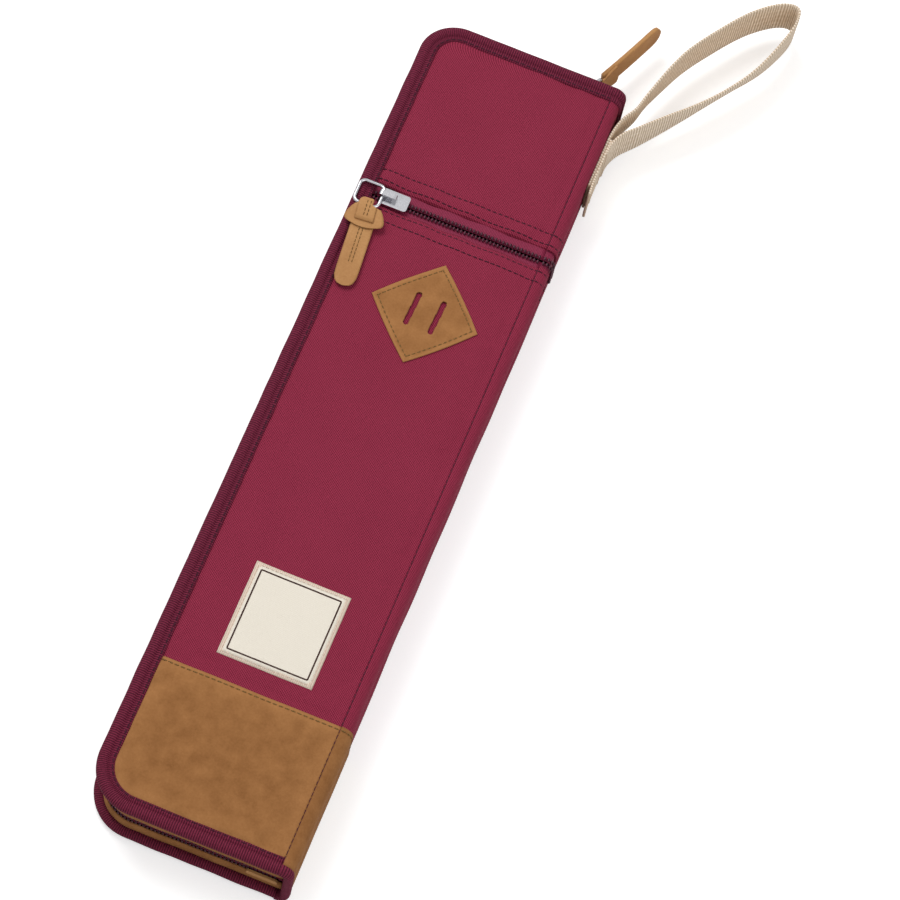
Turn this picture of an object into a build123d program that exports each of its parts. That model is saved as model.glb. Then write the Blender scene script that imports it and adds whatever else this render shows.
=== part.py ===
"""Drum stick bag: a padded book-shaped case that zips round three sides.

It lies on its back with the front pocket upwards. +X points to the spine, +Y to the
top end and +Z out of the front. The origin is the centre of the face it rests on.
All sizes are in millimetres.
"""
import os
from build123d import *

# ---- driving dimensions: the whole bag
LENGTH = 470.0
WIDTH = 108.0
DEPTH = 36.0
TOP_RADIUS = 20.0
BOTTOM_RADIUS = 25.0

# ---- driving dimensions: cloth, leather and tape
PANEL = 3.0
LINING = 0.8
LEATHER = 1.0
LEATHER_TOP = -153.4
BINDING = 7.0
BINDING_WALL = 0.8
SPINE_WALL = 3.0
SPINE_ROUND = 2.6
FOLD_GAP = 0.3

# ---- driving dimensions: zips
GUSSET_INSET = 5.5
GUSSET_WALL = 1.2
CHAIN_HEIGHT = 14.0
CHAIN_GAP = 0.7
COIL_REACH = 3.0
COIL_THICK = 1.6
TAPE = 0.6
TAPE_REACH = 8.0
POCKET_ZIP = 124.5
POCKET_EDGE = 3.4

# ---- driving dimensions: compartments
DIVIDER_HEIGHT = 24.0
DIVIDER = 1.2
SLEEVE_INSET = 10.0
SLEEVE_TOP = 60.0
SLEEVE_HEIGHT = 20.0
SLEEVE_WALL = 0.8
SLEEVE_CHANNELS = 3

# ---- driving dimensions: hardware
SLIDER_LENGTH = 15.0
SLIDER_HALF = 4.6
RING_SPAN = 13.2
RING_CORNER = 3.0
RING_WIRE = 0.9
LOOP_CLEARANCE = 0.3
LOOP_RADIUS = 2.4
LOOP_WIDTH = 6.2
PULL_LENGTH = 48.0
PULL_WIDTH = 12.0
CAP_WIDTH = 21.0
CAP_LENGTH = 14.0
CAP_NECK = 2.0
PULL_LEAN = 67.0

# ---- driving dimensions: trims and strap
PATCH_HALF_WIDTH = 28.8
PATCH_HALF_LENGTH = 30.0
PATCH_CENTRE = (4.4, 70.5)
PATCH_THICK = 1.3
SLOT_LENGTH = 20.0
SLOT_WIDTH = 3.0
SLOT_PITCH = 13.6
LABEL_WIDTH = 48.0
LABEL_LENGTH = 51.0
LABEL_CENTRE = (3.0, -115.5)
LABEL_THICK = 0.6
WEBBING_WIDTH = 25.0
WEBBING = 1.7
STRAP_LOW = 5.5
STRAP_FLAP = 167.0
STRAP_SEAM = 210.0
STRAP_SPLIT = 236.0
STRAP_ROUTE = [(61.4, 228), (65, 247), (74, 274), (96, 309), (112, 324), (124, 327),
               (120, 308), (112, 286), (99, 263), (72.5, 228)]
STRAP_RADII = [60, 60, 60, 12, 6.5, 40, 60, 60]

# ---- places worked out from them
LEFT = -WIDTH / 2
SPINE_OUT = WIDTH / 2
SPINE_IN = SPINE_OUT - SPINE_WALL
PANEL_RIGHT = SPINE_IN - FOLD_GAP
HALF = LENGTH / 2
PINCH = BINDING_WALL
BINDING_THICK = PANEL + 0.2
GUSSET_IN = GUSSET_INSET + GUSSET_WALL
TAPE_IN = GUSSET_IN + TAPE
COIL_OUT = GUSSET_IN - COIL_THICK
BACK_CHAIN = CHAIN_HEIGHT - CHAIN_GAP
FRONT_CHAIN = CHAIN_HEIGHT + CHAIN_GAP
BACK_EDGE = CHAIN_HEIGHT - COIL_REACH
FRONT_EDGE = CHAIN_HEIGHT + COIL_REACH
FRONT_UNDER = DEPTH - PANEL
POCKET_TAPE = FRONT_UNDER - TAPE

os.makedirs("parts", exist_ok=True)


# ---- shared outlines and shapes
def panel_face(inset, right=PANEL_RIGHT):
    """A panel's outline: rounded at the two zipped corners and square at the spine."""
    left = LEFT + inset
    top = HALF - inset
    with BuildSketch() as face:
        with Locations((left, 0)):
            Rectangle(right - left, 2 * top, align=(Align.MIN, Align.CENTER))
        fillet(face.vertices().sort_by_distance((left, top))[0], TOP_RADIUS - inset)
        fillet(face.vertices().sort_by_distance((left, -top))[0], BOTTOM_RADIUS - inset)
    return face.sketch


def band_face(outer, inner, right=PANEL_RIGHT):
    """A band that follows a panel's three zipped sides, between two insets."""
    with BuildSketch() as band:
        add(panel_face(outer, right))
        add(panel_face(inner, right), mode=Mode.SUBTRACT)
    return band.sketch


def half_plane(level, side):
    """A large rectangle above or below a level along the bag, for trimming a sketch."""
    with BuildSketch() as half:
        with Locations((0, level)):
            Rectangle(4 * WIDTH, LENGTH, align=(Align.CENTER, side))
    return half.sketch


def strap_face(grow):
    """The area inside the strap's loop, grown or shrunk from the webbing's middle line."""
    with BuildSketch() as loop:
        with BuildLine():
            route = FilletPolyline(*STRAP_ROUTE, radius=STRAP_RADII)
            Line(route @ 1, route @ 0)
        make_face()
        offset(amount=grow)
    return loop.sketch


def slider_shape(seat):
    """A coil-zip slider on a plane: X runs from its mouth to its tail, Z points outwards."""
    half = SLIDER_LENGTH / 2
    with BuildPart() as body:
        with BuildSketch(seat.offset(-1.8)):
            RectangleRounded(SLIDER_LENGTH, 2 * SLIDER_HALF - 0.8, 2)
        extrude(amount=1.4)
        with BuildSketch(seat.offset(-0.4)):
            with Locations((2.5 - half, 0)):
                Rectangle(5, 2 * CHAIN_GAP - 0.5)
        extrude(amount=4.3)
        with BuildSketch(seat.offset(3.9)):
            RectangleRounded(SLIDER_LENGTH, 2 * SLIDER_HALF, 1.5)
        extrude(amount=1.4)
        with BuildSketch(Plane(seat.origin, x_dir=seat.x_dir, z_dir=-seat.y_dir)) as bail:
            with Locations((-3.8, 7.1)):
                Rectangle(9.6, 3.6)
            fillet(bail.vertices().group_by(Axis.Y)[-1], 1.6)
            with Locations((-4.4, 6.6)):
                Rectangle(6.7, 2.6, mode=Mode.SUBTRACT)
        extrude(amount=1.5, both=True)
    return body.part


def ring_shape(seat):
    """A wire ring centred on a plane, square with rounded corners."""
    side = RING_SPAN / 2
    with BuildPart() as ring:
        with BuildLine(seat) as wire:
            corners = [(-side, side), (side, side), (side, -side), (-side, -side)]
            FilletPolyline(*corners, radius=RING_CORNER, close=True)
        with BuildSketch(Plane(wire.line @ 0, z_dir=wire.line % 0)):
            Circle(RING_WIRE)
        sweep()
    return ring.part


def pull_cap_shape(seat, loop_shift):
    """A leather cap and the loop that holds it to a ring; X runs along the pull."""
    with BuildPart() as cap:
        with BuildSketch(seat.offset(RING_WIRE + LOOP_CLEARANCE)):
            with BuildLine():
                Polyline((CAP_LENGTH - 3, -CAP_WIDTH / 2), (3, -CAP_NECK), (0, -CAP_NECK),
                         (0, CAP_NECK), (3, CAP_NECK), (CAP_LENGTH - 3, CAP_WIDTH / 2))
                ThreePointArc((CAP_LENGTH - 3, CAP_WIDTH / 2), (CAP_LENGTH, 0),
                              (CAP_LENGTH - 3, -CAP_WIDTH / 2))
            make_face()
        extrude(amount=1.5)
        with BuildSketch(Plane(seat.origin, x_dir=seat.x_dir, z_dir=-seat.y_dir)) as loop:
            Circle(LOOP_RADIUS)
        extrude(amount=LOOP_WIDTH / 2 + loop_shift)
        extrude(loop.sketch, amount=loop_shift - LOOP_WIDTH / 2)
        with BuildSketch(Plane(seat.origin, x_dir=seat.x_dir, z_dir=-seat.y_dir)):
            Circle(RING_WIRE + LOOP_CLEARANCE)
        extrude(amount=CAP_WIDTH, both=True, mode=Mode.SUBTRACT)
    return cap.part


def pull_strap_shape(seat):
    """The leather tongue under a cap, rounded at its end."""
    start = 2.8
    with BuildPart() as tongue:
        with BuildSketch(seat.offset(-1.0)) as outline:
            with Locations((start, 0)):
                Rectangle(PULL_LENGTH - start, PULL_WIDTH, align=(Align.MIN, Align.CENTER))
            fillet(outline.vertices().group_by(Axis.X)[-1], PULL_WIDTH / 2 - 0.1)
        extrude(amount=1.0 + RING_WIRE + LOOP_CLEARANCE)
    return tongue.part


# ================================================================ back half
with BuildPart() as back_panel:
    with BuildSketch():
        add(panel_face(BINDING))
    extrude(amount=PANEL)
    with BuildSketch(Plane.XY.offset(PINCH)):
        add(panel_face(BINDING_WALL))
    extrude(amount=PANEL - 2 * PINCH)
    with BuildSketch():
        add(panel_face(BINDING))
        add(half_plane(LEATHER_TOP, Align.MAX), mode=Mode.INTERSECT)
    extrude(amount=LEATHER, mode=Mode.SUBTRACT)
back_panel.part.label = "back_panel"
export_step(back_panel.part, "parts/back_panel.step")

with BuildPart() as back_leather:
    with BuildSketch():
        add(panel_face(BINDING))
        add(half_plane(LEATHER_TOP, Align.MAX), mode=Mode.INTERSECT)
    extrude(amount=LEATHER)
back_leather.part.label = "back_leather"
export_step(back_leather.part, "parts/back_leather.step")

with BuildPart() as back_binding:
    with BuildSketch():
        add(band_face(0, BINDING))
    extrude(amount=BINDING_THICK)
    with BuildSketch(Plane.XY.offset(PINCH)):
        add(band_face(BINDING_WALL, BINDING))
    extrude(amount=PANEL - 2 * PINCH, mode=Mode.SUBTRACT)
back_binding.part.label = "back_binding"
export_step(back_binding.part, "parts/back_binding.step")

with BuildPart() as back_lining:
    with BuildSketch(Plane.XY.offset(PANEL)):
        add(panel_face(BINDING + 0.4, PANEL_RIGHT - 1))
    extrude(amount=LINING)
back_lining.part.label = "back_lining"
export_step(back_lining.part, "parts/back_lining.step")

with BuildPart() as back_gusset:
    with BuildSketch(Plane.XY.offset(BINDING_THICK)):
        add(band_face(GUSSET_INSET, GUSSET_IN))
        add(half_plane(LEATHER_TOP, Align.MIN), mode=Mode.INTERSECT)
    extrude(amount=BACK_EDGE - BINDING_THICK)
back_gusset.part.label = "back_gusset"
export_step(back_gusset.part, "parts/back_gusset.step")

with BuildPart() as back_gusset_leather:
    with BuildSketch(Plane.XY.offset(BINDING_THICK)):
        add(band_face(GUSSET_INSET, GUSSET_IN))
        add(half_plane(LEATHER_TOP, Align.MAX), mode=Mode.INTERSECT)
    extrude(amount=BACK_EDGE - BINDING_THICK)
back_gusset_leather.part.label = "back_gusset_leather"
export_step(back_gusset_leather.part, "parts/back_gusset_leather.step")

with BuildPart() as back_zip_tape:
    with BuildSketch(Plane.XY.offset(BACK_CHAIN - TAPE_REACH)):
        add(band_face(GUSSET_IN, TAPE_IN))
    extrude(amount=TAPE_REACH)
back_zip_tape.part.label = "back_zip_tape"
export_step(back_zip_tape.part, "parts/back_zip_tape.step")

with BuildPart() as back_zip_coil:
    with BuildSketch(Plane.XY.offset(BACK_EDGE)):
        add(band_face(COIL_OUT, GUSSET_IN, PANEL_RIGHT - 4))
    extrude(amount=BACK_CHAIN - BACK_EDGE)
back_zip_coil.part.label = "back_zip_coil"
export_step(back_zip_coil.part, "parts/back_zip_coil.step")

with BuildPart() as zip_end_tab:
    with BuildSketch(Plane.XZ.offset(HALF - COIL_OUT)):
        with Locations((PANEL_RIGHT - 11, CHAIN_HEIGHT - 2.6)):
            RectangleRounded(16, 3.6, 1)
    extrude(amount=1.2)
zip_end_tab.part.label = "zip_end_tab"
export_step(zip_end_tab.part, "parts/zip_end_tab.step")

sleeve_left = LEFT + SLEEVE_INSET
sleeve_right = PANEL_RIGHT - 4
sleeve_bottom = -HALF + SLEEVE_INSET + 8
channel = (sleeve_right - sleeve_left - SLEEVE_WALL) / SLEEVE_CHANNELS
with BuildPart() as stick_sleeve:
    with BuildSketch(Plane.XY.offset(PANEL + LINING)):
        with Locations((sleeve_left, sleeve_bottom)):
            Rectangle(sleeve_right - sleeve_left, SLEEVE_TOP - sleeve_bottom,
                      align=(Align.MIN, Align.MIN))
    extrude(amount=SLEEVE_HEIGHT - PANEL - LINING)
    with BuildSketch(Plane.XY.offset(PANEL + LINING)):
        for index in range(SLEEVE_CHANNELS):
            with Locations((sleeve_left + SLEEVE_WALL + index * channel,
                            sleeve_bottom + SLEEVE_WALL)):
                Rectangle(channel - SLEEVE_WALL, SLEEVE_TOP - sleeve_bottom,
                          align=(Align.MIN, Align.MIN))
    extrude(amount=SLEEVE_HEIGHT - PANEL - LINING - SLEEVE_WALL, mode=Mode.SUBTRACT)
stick_sleeve.part.label = "stick_sleeve"
export_step(stick_sleeve.part, "parts/stick_sleeve.step")

with BuildPart() as sleeve_binding:
    with BuildSketch(Plane.XY.offset(SLEEVE_HEIGHT)):
        with Locations((sleeve_left, SLEEVE_TOP - 8)):
            Rectangle(sleeve_right - sleeve_left, 8, align=(Align.MIN, Align.MIN))
    extrude(amount=0.6)
sleeve_binding.part.label = "sleeve_binding"
export_step(sleeve_binding.part, "parts/sleeve_binding.step")

# ================================================================ spine
spine_low = FOLD_GAP
spine_high = DEPTH - 0.1
with BuildPart() as spine_panel:
    with BuildSketch(Plane.XZ.offset(-HALF + BINDING)) as wall:
        with Locations((SPINE_IN, spine_low)):
            Rectangle(SPINE_WALL, spine_high - spine_low, align=(Align.MIN, Align.MIN))
        fillet(wall.vertices().group_by(Axis.X)[-1], SPINE_ROUND)
    extrude(amount=LENGTH - 2 * BINDING)
    with BuildSketch(Plane.XZ.offset(-HALF + BINDING_WALL)):
        with Locations((SPINE_IN + PINCH, spine_low + 2)):
            Rectangle(SPINE_WALL - 2 * PINCH, spine_high - spine_low - 4,
                      align=(Align.MIN, Align.MIN))
    extrude(amount=LENGTH - 2 * BINDING_WALL)
    with BuildSketch(Plane.XZ.offset(HALF - BINDING)):
        with Locations((SPINE_OUT, DEPTH / 2)):
            Rectangle(2 * LEATHER, DEPTH)
    extrude(amount=-(LEATHER_TOP + HALF - BINDING), mode=Mode.SUBTRACT)
spine_panel.part.label = "spine_panel"
export_step(spine_panel.part, "parts/spine_panel.step")

with BuildPart() as spine_leather:
    with BuildSketch(Plane.XZ.offset(HALF - BINDING)) as skin:
        with Locations((SPINE_OUT - LEATHER, DEPTH / 2)):
            Rectangle(LEATHER, DEPTH - 2 * SPINE_ROUND, align=(Align.MIN, Align.CENTER))
    extrude(amount=-(LEATHER_TOP + HALF - BINDING))
spine_leather.part.label = "spine_leather"
export_step(spine_leather.part, "parts/spine_leather.step")

with BuildPart() as spine_binding_top:
    with BuildSketch(Plane.XZ.offset(-HALF)) as cap_top:
        with Locations((SPINE_IN, spine_low)):
            Rectangle(SPINE_WALL, spine_high - spine_low, align=(Align.MIN, Align.MIN))
        fillet(cap_top.vertices().group_by(Axis.X)[-1], SPINE_ROUND)
    extrude(amount=BINDING)
    with BuildSketch(Plane.XZ.offset(-HALF + BINDING_WALL)):
        with Locations((SPINE_IN + PINCH, spine_low + 2)):
            Rectangle(SPINE_WALL - 2 * PINCH, spine_high - spine_low - 4,
                      align=(Align.MIN, Align.MIN))
    extrude(amount=BINDING, mode=Mode.SUBTRACT)
spine_binding_top.part.label = "spine_binding_top"
export_step(spine_binding_top.part, "parts/spine_binding_top.step")

with BuildPart() as spine_binding_bottom:
    add(spine_binding_top.part.mirror(Plane.XZ))
spine_binding_bottom.part.label = "spine_binding_bottom"
export_step(spine_binding_bottom.part, "parts/spine_binding_bottom.step")

# The webbing is folded in half; both layers are sewn to the spine near its top end.
with BuildPart() as strap_seam:
    with BuildSketch(Plane.XY.offset(STRAP_LOW)):
        with Locations((SPINE_OUT, STRAP_FLAP)):
            Rectangle(2 * WEBBING, STRAP_SEAM - STRAP_FLAP, align=(Align.MIN, Align.MIN))
    extrude(amount=WEBBING_WIDTH)
strap_seam.part.label = "strap_seam"
export_step(strap_seam.part, "parts/strap_seam.step")

inner_root = [(54.9, STRAP_SEAM), (56.5, 221), (63, STRAP_SPLIT - 0.5)]
outer_root = [(56.6, STRAP_SEAM), (64, 217.5), (79.2, STRAP_SPLIT - 0.5)]
with BuildPart() as strap_root:
    for route in (inner_root, outer_root):
        with BuildSketch(Plane.XY.offset(STRAP_LOW)):
            with BuildLine():
                FilletPolyline(*route, radius=12)
            trace(line_width=WEBBING - 0.1)
        extrude(amount=WEBBING_WIDTH)
    with BuildSketch(Plane.XY.offset(STRAP_LOW)):
        with Locations((SPINE_OUT, STRAP_FLAP)):
            Rectangle(2 * WEBBING, STRAP_SEAM - STRAP_FLAP, align=(Align.MIN, Align.MIN))
    extrude(amount=WEBBING_WIDTH, mode=Mode.SUBTRACT)
    with BuildSketch(Plane.XY.offset(STRAP_LOW)):
        with Locations((SPINE_OUT, 0)):
            Rectangle(3 * WEBBING, LENGTH, align=(Align.MAX, Align.CENTER))
    extrude(amount=WEBBING_WIDTH, mode=Mode.SUBTRACT)
strap_root.part.label = "strap_root"
export_step(strap_root.part, "parts/strap_root.step")

# ================================================================ hand strap
with BuildPart() as hand_strap:
    with BuildSketch(Plane.XY.offset(STRAP_LOW)):
        add(strap_face(WEBBING / 2))
        add(strap_face(-WEBBING / 2), mode=Mode.SUBTRACT)
        add(half_plane(STRAP_SPLIT + 0.5, Align.MIN), mode=Mode.INTERSECT)
    extrude(amount=WEBBING_WIDTH)
hand_strap.part.label = "hand_strap"
export_step(hand_strap.part, "parts/hand_strap.step")

# ================================================================ front half
with BuildPart() as front_panel_upper:
    with BuildSketch(Plane.XY.offset(FRONT_UNDER)):
        add(panel_face(BINDING))
    extrude(amount=PANEL)
    with BuildSketch(Plane.XY.offset(FRONT_UNDER + PINCH)):
        add(panel_face(BINDING_WALL))
    extrude(amount=PANEL - 2 * PINCH)
    with BuildSketch(Plane.XY.offset(FRONT_UNDER)):
        add(half_plane(POCKET_ZIP + POCKET_EDGE, Align.MAX))
    extrude(amount=PANEL, mode=Mode.SUBTRACT)
front_panel_upper.part.label = "front_panel_upper"
export_step(front_panel_upper.part, "parts/front_panel_upper.step")

with BuildPart() as front_panel_lower:
    with BuildSketch(Plane.XY.offset(FRONT_UNDER)):
        add(panel_face(BINDING))
    extrude(amount=PANEL)
    with BuildSketch(Plane.XY.offset(FRONT_UNDER + PINCH)):
        add(panel_face(BINDING_WALL))
    extrude(amount=PANEL - 2 * PINCH)
    with BuildSketch(Plane.XY.offset(FRONT_UNDER)):
        add(half_plane(POCKET_ZIP - POCKET_EDGE, Align.MIN))
    extrude(amount=PANEL, mode=Mode.SUBTRACT)
    with BuildSketch(Plane.XY.offset(DEPTH)):
        add(panel_face(BINDING))
        add(half_plane(LEATHER_TOP, Align.MAX), mode=Mode.INTERSECT)
    extrude(amount=-LEATHER, mode=Mode.SUBTRACT)
front_panel_lower.part.label = "front_panel_lower"
export_step(front_panel_lower.part, "parts/front_panel_lower.step")

with BuildPart() as front_leather:
    with BuildSketch(Plane.XY.offset(DEPTH)):
        add(panel_face(BINDING))
        add(half_plane(LEATHER_TOP, Align.MAX), mode=Mode.INTERSECT)
    extrude(amount=-LEATHER)
front_leather.part.label = "front_leather"
export_step(front_leather.part, "parts/front_leather.step")

with BuildPart() as front_binding:
    with BuildSketch(Plane.XY.offset(DEPTH)):
        add(band_face(0, BINDING))
    extrude(amount=-BINDING_THICK)
    with BuildSketch(Plane.XY.offset(FRONT_UNDER + PINCH)):
        add(band_face(BINDING_WALL, BINDING))
    extrude(amount=PANEL - 2 * PINCH, mode=Mode.SUBTRACT)
front_binding.part.label = "front_binding"
export_step(front_binding.part, "parts/front_binding.step")

with BuildPart() as front_gusset:
    with BuildSketch(Plane.XY.offset(FRONT_EDGE)):
        add(band_face(GUSSET_INSET, GUSSET_IN))
        add(half_plane(LEATHER_TOP, Align.MIN), mode=Mode.INTERSECT)
    extrude(amount=DEPTH - BINDING_THICK - FRONT_EDGE)
front_gusset.part.label = "front_gusset"
export_step(front_gusset.part, "parts/front_gusset.step")

with BuildPart() as front_gusset_leather:
    with BuildSketch(Plane.XY.offset(FRONT_EDGE)):
        add(band_face(GUSSET_INSET, GUSSET_IN))
        add(half_plane(LEATHER_TOP, Align.MAX), mode=Mode.INTERSECT)
    extrude(amount=DEPTH - BINDING_THICK - FRONT_EDGE)
front_gusset_leather.part.label = "front_gusset_leather"
export_step(front_gusset_leather.part, "parts/front_gusset_leather.step")

with BuildPart() as front_zip_tape:
    with BuildSketch(Plane.XY.offset(FRONT_CHAIN)):
        add(band_face(GUSSET_IN, TAPE_IN))
    extrude(amount=TAPE_REACH)
front_zip_tape.part.label = "front_zip_tape"
export_step(front_zip_tape.part, "parts/front_zip_tape.step")

with BuildPart() as front_zip_coil:
    with BuildSketch(Plane.XY.offset(FRONT_CHAIN)):
        add(band_face(COIL_OUT, GUSSET_IN, PANEL_RIGHT - 4))
    extrude(amount=FRONT_EDGE - FRONT_CHAIN)
front_zip_coil.part.label = "front_zip_coil"
export_step(front_zip_coil.part, "parts/front_zip_coil.step")

with BuildPart() as pocket_divider:
    with BuildSketch(Plane.XY.offset(DIVIDER_HEIGHT)):
        add(panel_face(TAPE_IN + 0.2, PANEL_RIGHT - 1))
    extrude(amount=DIVIDER)
pocket_divider.part.label = "pocket_divider"
export_step(pocket_divider.part, "parts/pocket_divider.step")

with BuildPart() as accessory_pocket:
    with BuildSketch(Plane.XY.offset(DIVIDER_HEIGHT)):
        with Locations((0, -110)):
            RectangleRounded(80, 170, 6)
    extrude(amount=-1.2)
accessory_pocket.part.label = "accessory_pocket"
export_step(accessory_pocket.part, "parts/accessory_pocket.step")

# ---- pocket zip: two tapes and two coils, one each side of the parting line
zip_left = LEFT + BINDING + 0.2
zip_length = PANEL_RIGHT - zip_left
with BuildPart() as pocket_tape_upper:
    with BuildSketch(Plane.XY.offset(POCKET_TAPE)):
        with Locations((zip_left, POCKET_ZIP + CHAIN_GAP)):
            Rectangle(zip_length, TAPE_REACH, align=(Align.MIN, Align.MIN))
    extrude(amount=TAPE)
pocket_tape_upper.part.label = "pocket_tape_upper"
export_step(pocket_tape_upper.part, "parts/pocket_tape_upper.step")

with BuildPart() as pocket_tape_lower:
    with BuildSketch(Plane.XY.offset(POCKET_TAPE)):
        with Locations((zip_left, POCKET_ZIP - CHAIN_GAP)):
            Rectangle(zip_length, TAPE_REACH, align=(Align.MIN, Align.MAX))
    extrude(amount=TAPE)
pocket_tape_lower.part.label = "pocket_tape_lower"
export_step(pocket_tape_lower.part, "parts/pocket_tape_lower.step")

with BuildPart() as pocket_coil_upper:
    with BuildSketch(Plane.XY.offset(FRONT_UNDER)):
        with Locations((zip_left, POCKET_ZIP + CHAIN_GAP)):
            Rectangle(zip_length, COIL_REACH - CHAIN_GAP, align=(Align.MIN, Align.MIN))
    extrude(amount=COIL_THICK)
pocket_coil_upper.part.label = "pocket_coil_upper"
export_step(pocket_coil_upper.part, "parts/pocket_coil_upper.step")

with BuildPart() as pocket_coil_lower:
    with BuildSketch(Plane.XY.offset(FRONT_UNDER)):
        with Locations((zip_left, POCKET_ZIP - CHAIN_GAP)):
            Rectangle(zip_length, COIL_REACH - CHAIN_GAP, align=(Align.MIN, Align.MAX))
    extrude(amount=COIL_THICK)
pocket_coil_lower.part.label = "pocket_coil_lower"
export_step(pocket_coil_lower.part, "parts/pocket_coil_lower.step")

# ---- trims on the front
with BuildPart() as lash_patch:
    with BuildSketch(Plane.XY.offset(DEPTH)):
        with Locations(PATCH_CENTRE):
            Polygon((-PATCH_HALF_WIDTH, 0), (0, -PATCH_HALF_LENGTH), (PATCH_HALF_WIDTH, 0),
                    (0, PATCH_HALF_LENGTH))
    extrude(amount=PATCH_THICK)
    with BuildSketch(Plane.XY.offset(DEPTH)):
        with Locations(PATCH_CENTRE):
            with GridLocations(SLOT_PITCH, 1, 2, 1):
                SlotOverall(SLOT_LENGTH, SLOT_WIDTH, rotation=90)
    extrude(amount=PATCH_THICK, mode=Mode.SUBTRACT)
lash_patch.part.label = "lash_patch"
export_step(lash_patch.part, "parts/lash_patch.step")

with BuildPart() as label_patch:
    with BuildSketch(Plane.XY.offset(DEPTH)):
        with Locations(Location((*LABEL_CENTRE, 0), (0, 0, 2))):
            Rectangle(LABEL_WIDTH, LABEL_LENGTH)
    extrude(amount=LABEL_THICK)
label_patch.part.label = "label_patch"
export_step(label_patch.part, "parts/label_patch.step")

# ================================================================ pocket zip hardware
pocket_seat = Plane((-33, POCKET_ZIP, POCKET_TAPE), x_dir=(1, 0, 0), z_dir=(0, 0, 1))
with BuildPart() as pocket_slider:
    add(slider_shape(pocket_seat))
pocket_slider.part.label = "pocket_slider"
export_step(pocket_slider.part, "parts/pocket_slider.step")

ring_pivot = -6.4
ring_height = 6.5
ring_drop = -2.5
pocket_ring_seat = Plane(
    pocket_seat.from_local_coords((ring_pivot - RING_SPAN / 2, ring_drop, ring_height)),
    x_dir=(1, 0, 0), z_dir=(0, 0, 1))
with BuildPart() as pocket_ring:
    add(ring_shape(pocket_ring_seat))
pocket_ring.part.label = "pocket_ring"
export_step(pocket_ring.part, "parts/pocket_ring.step")

pocket_pull_seat = Plane(
    pocket_ring_seat.from_local_coords((2.2, -RING_SPAN / 2, 0)),
    x_dir=(0, -1, 0), z_dir=(0, 0, 1))
with BuildPart() as pocket_pull_cap:
    add(pull_cap_shape(pocket_pull_seat, 2.2))
pocket_pull_cap.part.label = "pocket_pull_cap"
export_step(pocket_pull_cap.part, "parts/pocket_pull_cap.step")

with BuildPart() as pocket_pull_strap:
    add(pull_strap_shape(pocket_pull_seat))
pocket_pull_strap.part.label = "pocket_pull_strap"
export_step(pocket_pull_strap.part, "parts/pocket_pull_strap.step")

# ================================================================ main zip hardware
main_seat = Plane((26.7, HALF - TAPE_IN, CHAIN_HEIGHT), x_dir=(-1, 0, 0), z_dir=(0, 1, 0))
with BuildPart() as main_slider:
    add(slider_shape(main_seat))
main_slider.part.label = "main_slider"
export_step(main_slider.part, "parts/main_slider.step")

main_pivot = main_seat.from_local_coords((ring_pivot, 0, ring_height))
lean = Vector(1, 0, 0).rotate(Axis.Z, PULL_LEAN)
side = Vector(0, 0, 1).cross(lean)
main_ring_seat = Plane(main_pivot + lean * (RING_SPAN / 2), x_dir=lean, z_dir=side)
with BuildPart() as main_ring:
    add(ring_shape(main_ring_seat))
main_ring.part.label = "main_ring"
export_step(main_ring.part, "parts/main_ring.step")

main_pull_seat = Plane(main_pivot + lean * RING_SPAN, x_dir=lean, z_dir=side)
with BuildPart() as main_pull_cap:
    add(pull_cap_shape(main_pull_seat, 0))
main_pull_cap.part.label = "main_pull_cap"
export_step(main_pull_cap.part, "parts/main_pull_cap.step")

with BuildPart() as main_pull_strap:
    add(pull_strap_shape(main_pull_seat))
main_pull_strap.part.label = "main_pull_strap"
export_step(main_pull_strap.part, "parts/main_pull_strap.step")
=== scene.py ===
import math

import bpy
from mathutils import Matrix, Vector, noise


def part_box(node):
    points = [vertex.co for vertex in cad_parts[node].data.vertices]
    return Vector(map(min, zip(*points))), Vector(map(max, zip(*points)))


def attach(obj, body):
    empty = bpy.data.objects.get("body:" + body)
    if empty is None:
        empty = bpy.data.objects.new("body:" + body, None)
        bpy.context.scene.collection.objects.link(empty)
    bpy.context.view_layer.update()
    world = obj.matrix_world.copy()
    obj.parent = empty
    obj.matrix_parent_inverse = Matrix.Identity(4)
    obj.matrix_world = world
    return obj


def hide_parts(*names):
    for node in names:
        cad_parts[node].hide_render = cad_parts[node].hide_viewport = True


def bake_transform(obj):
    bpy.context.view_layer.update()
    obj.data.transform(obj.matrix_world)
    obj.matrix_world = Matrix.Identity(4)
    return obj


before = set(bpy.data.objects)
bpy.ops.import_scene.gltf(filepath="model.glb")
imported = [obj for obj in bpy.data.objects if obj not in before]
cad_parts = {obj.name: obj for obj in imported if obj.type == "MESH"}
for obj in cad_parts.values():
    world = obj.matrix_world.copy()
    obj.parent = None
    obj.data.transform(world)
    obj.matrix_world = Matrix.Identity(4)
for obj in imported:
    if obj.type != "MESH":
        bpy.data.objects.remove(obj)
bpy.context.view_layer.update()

bl_info = {
    "name": "Drum stick bag",
    "version": (1, 0, 0),
    "blender": (4, 5, 0),
    "location": "View3D > Sidebar > Stick bag",
    "description": "Sews the fabric, leather and zips of a drum stick bag onto its frame",
    "category": "Object",
}

MM = 0.001


def mm_box(node):
    """The two corners of a frame node in millimetres."""
    low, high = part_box(node)
    return Vector(low) / MM, Vector(high) / MM


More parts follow.
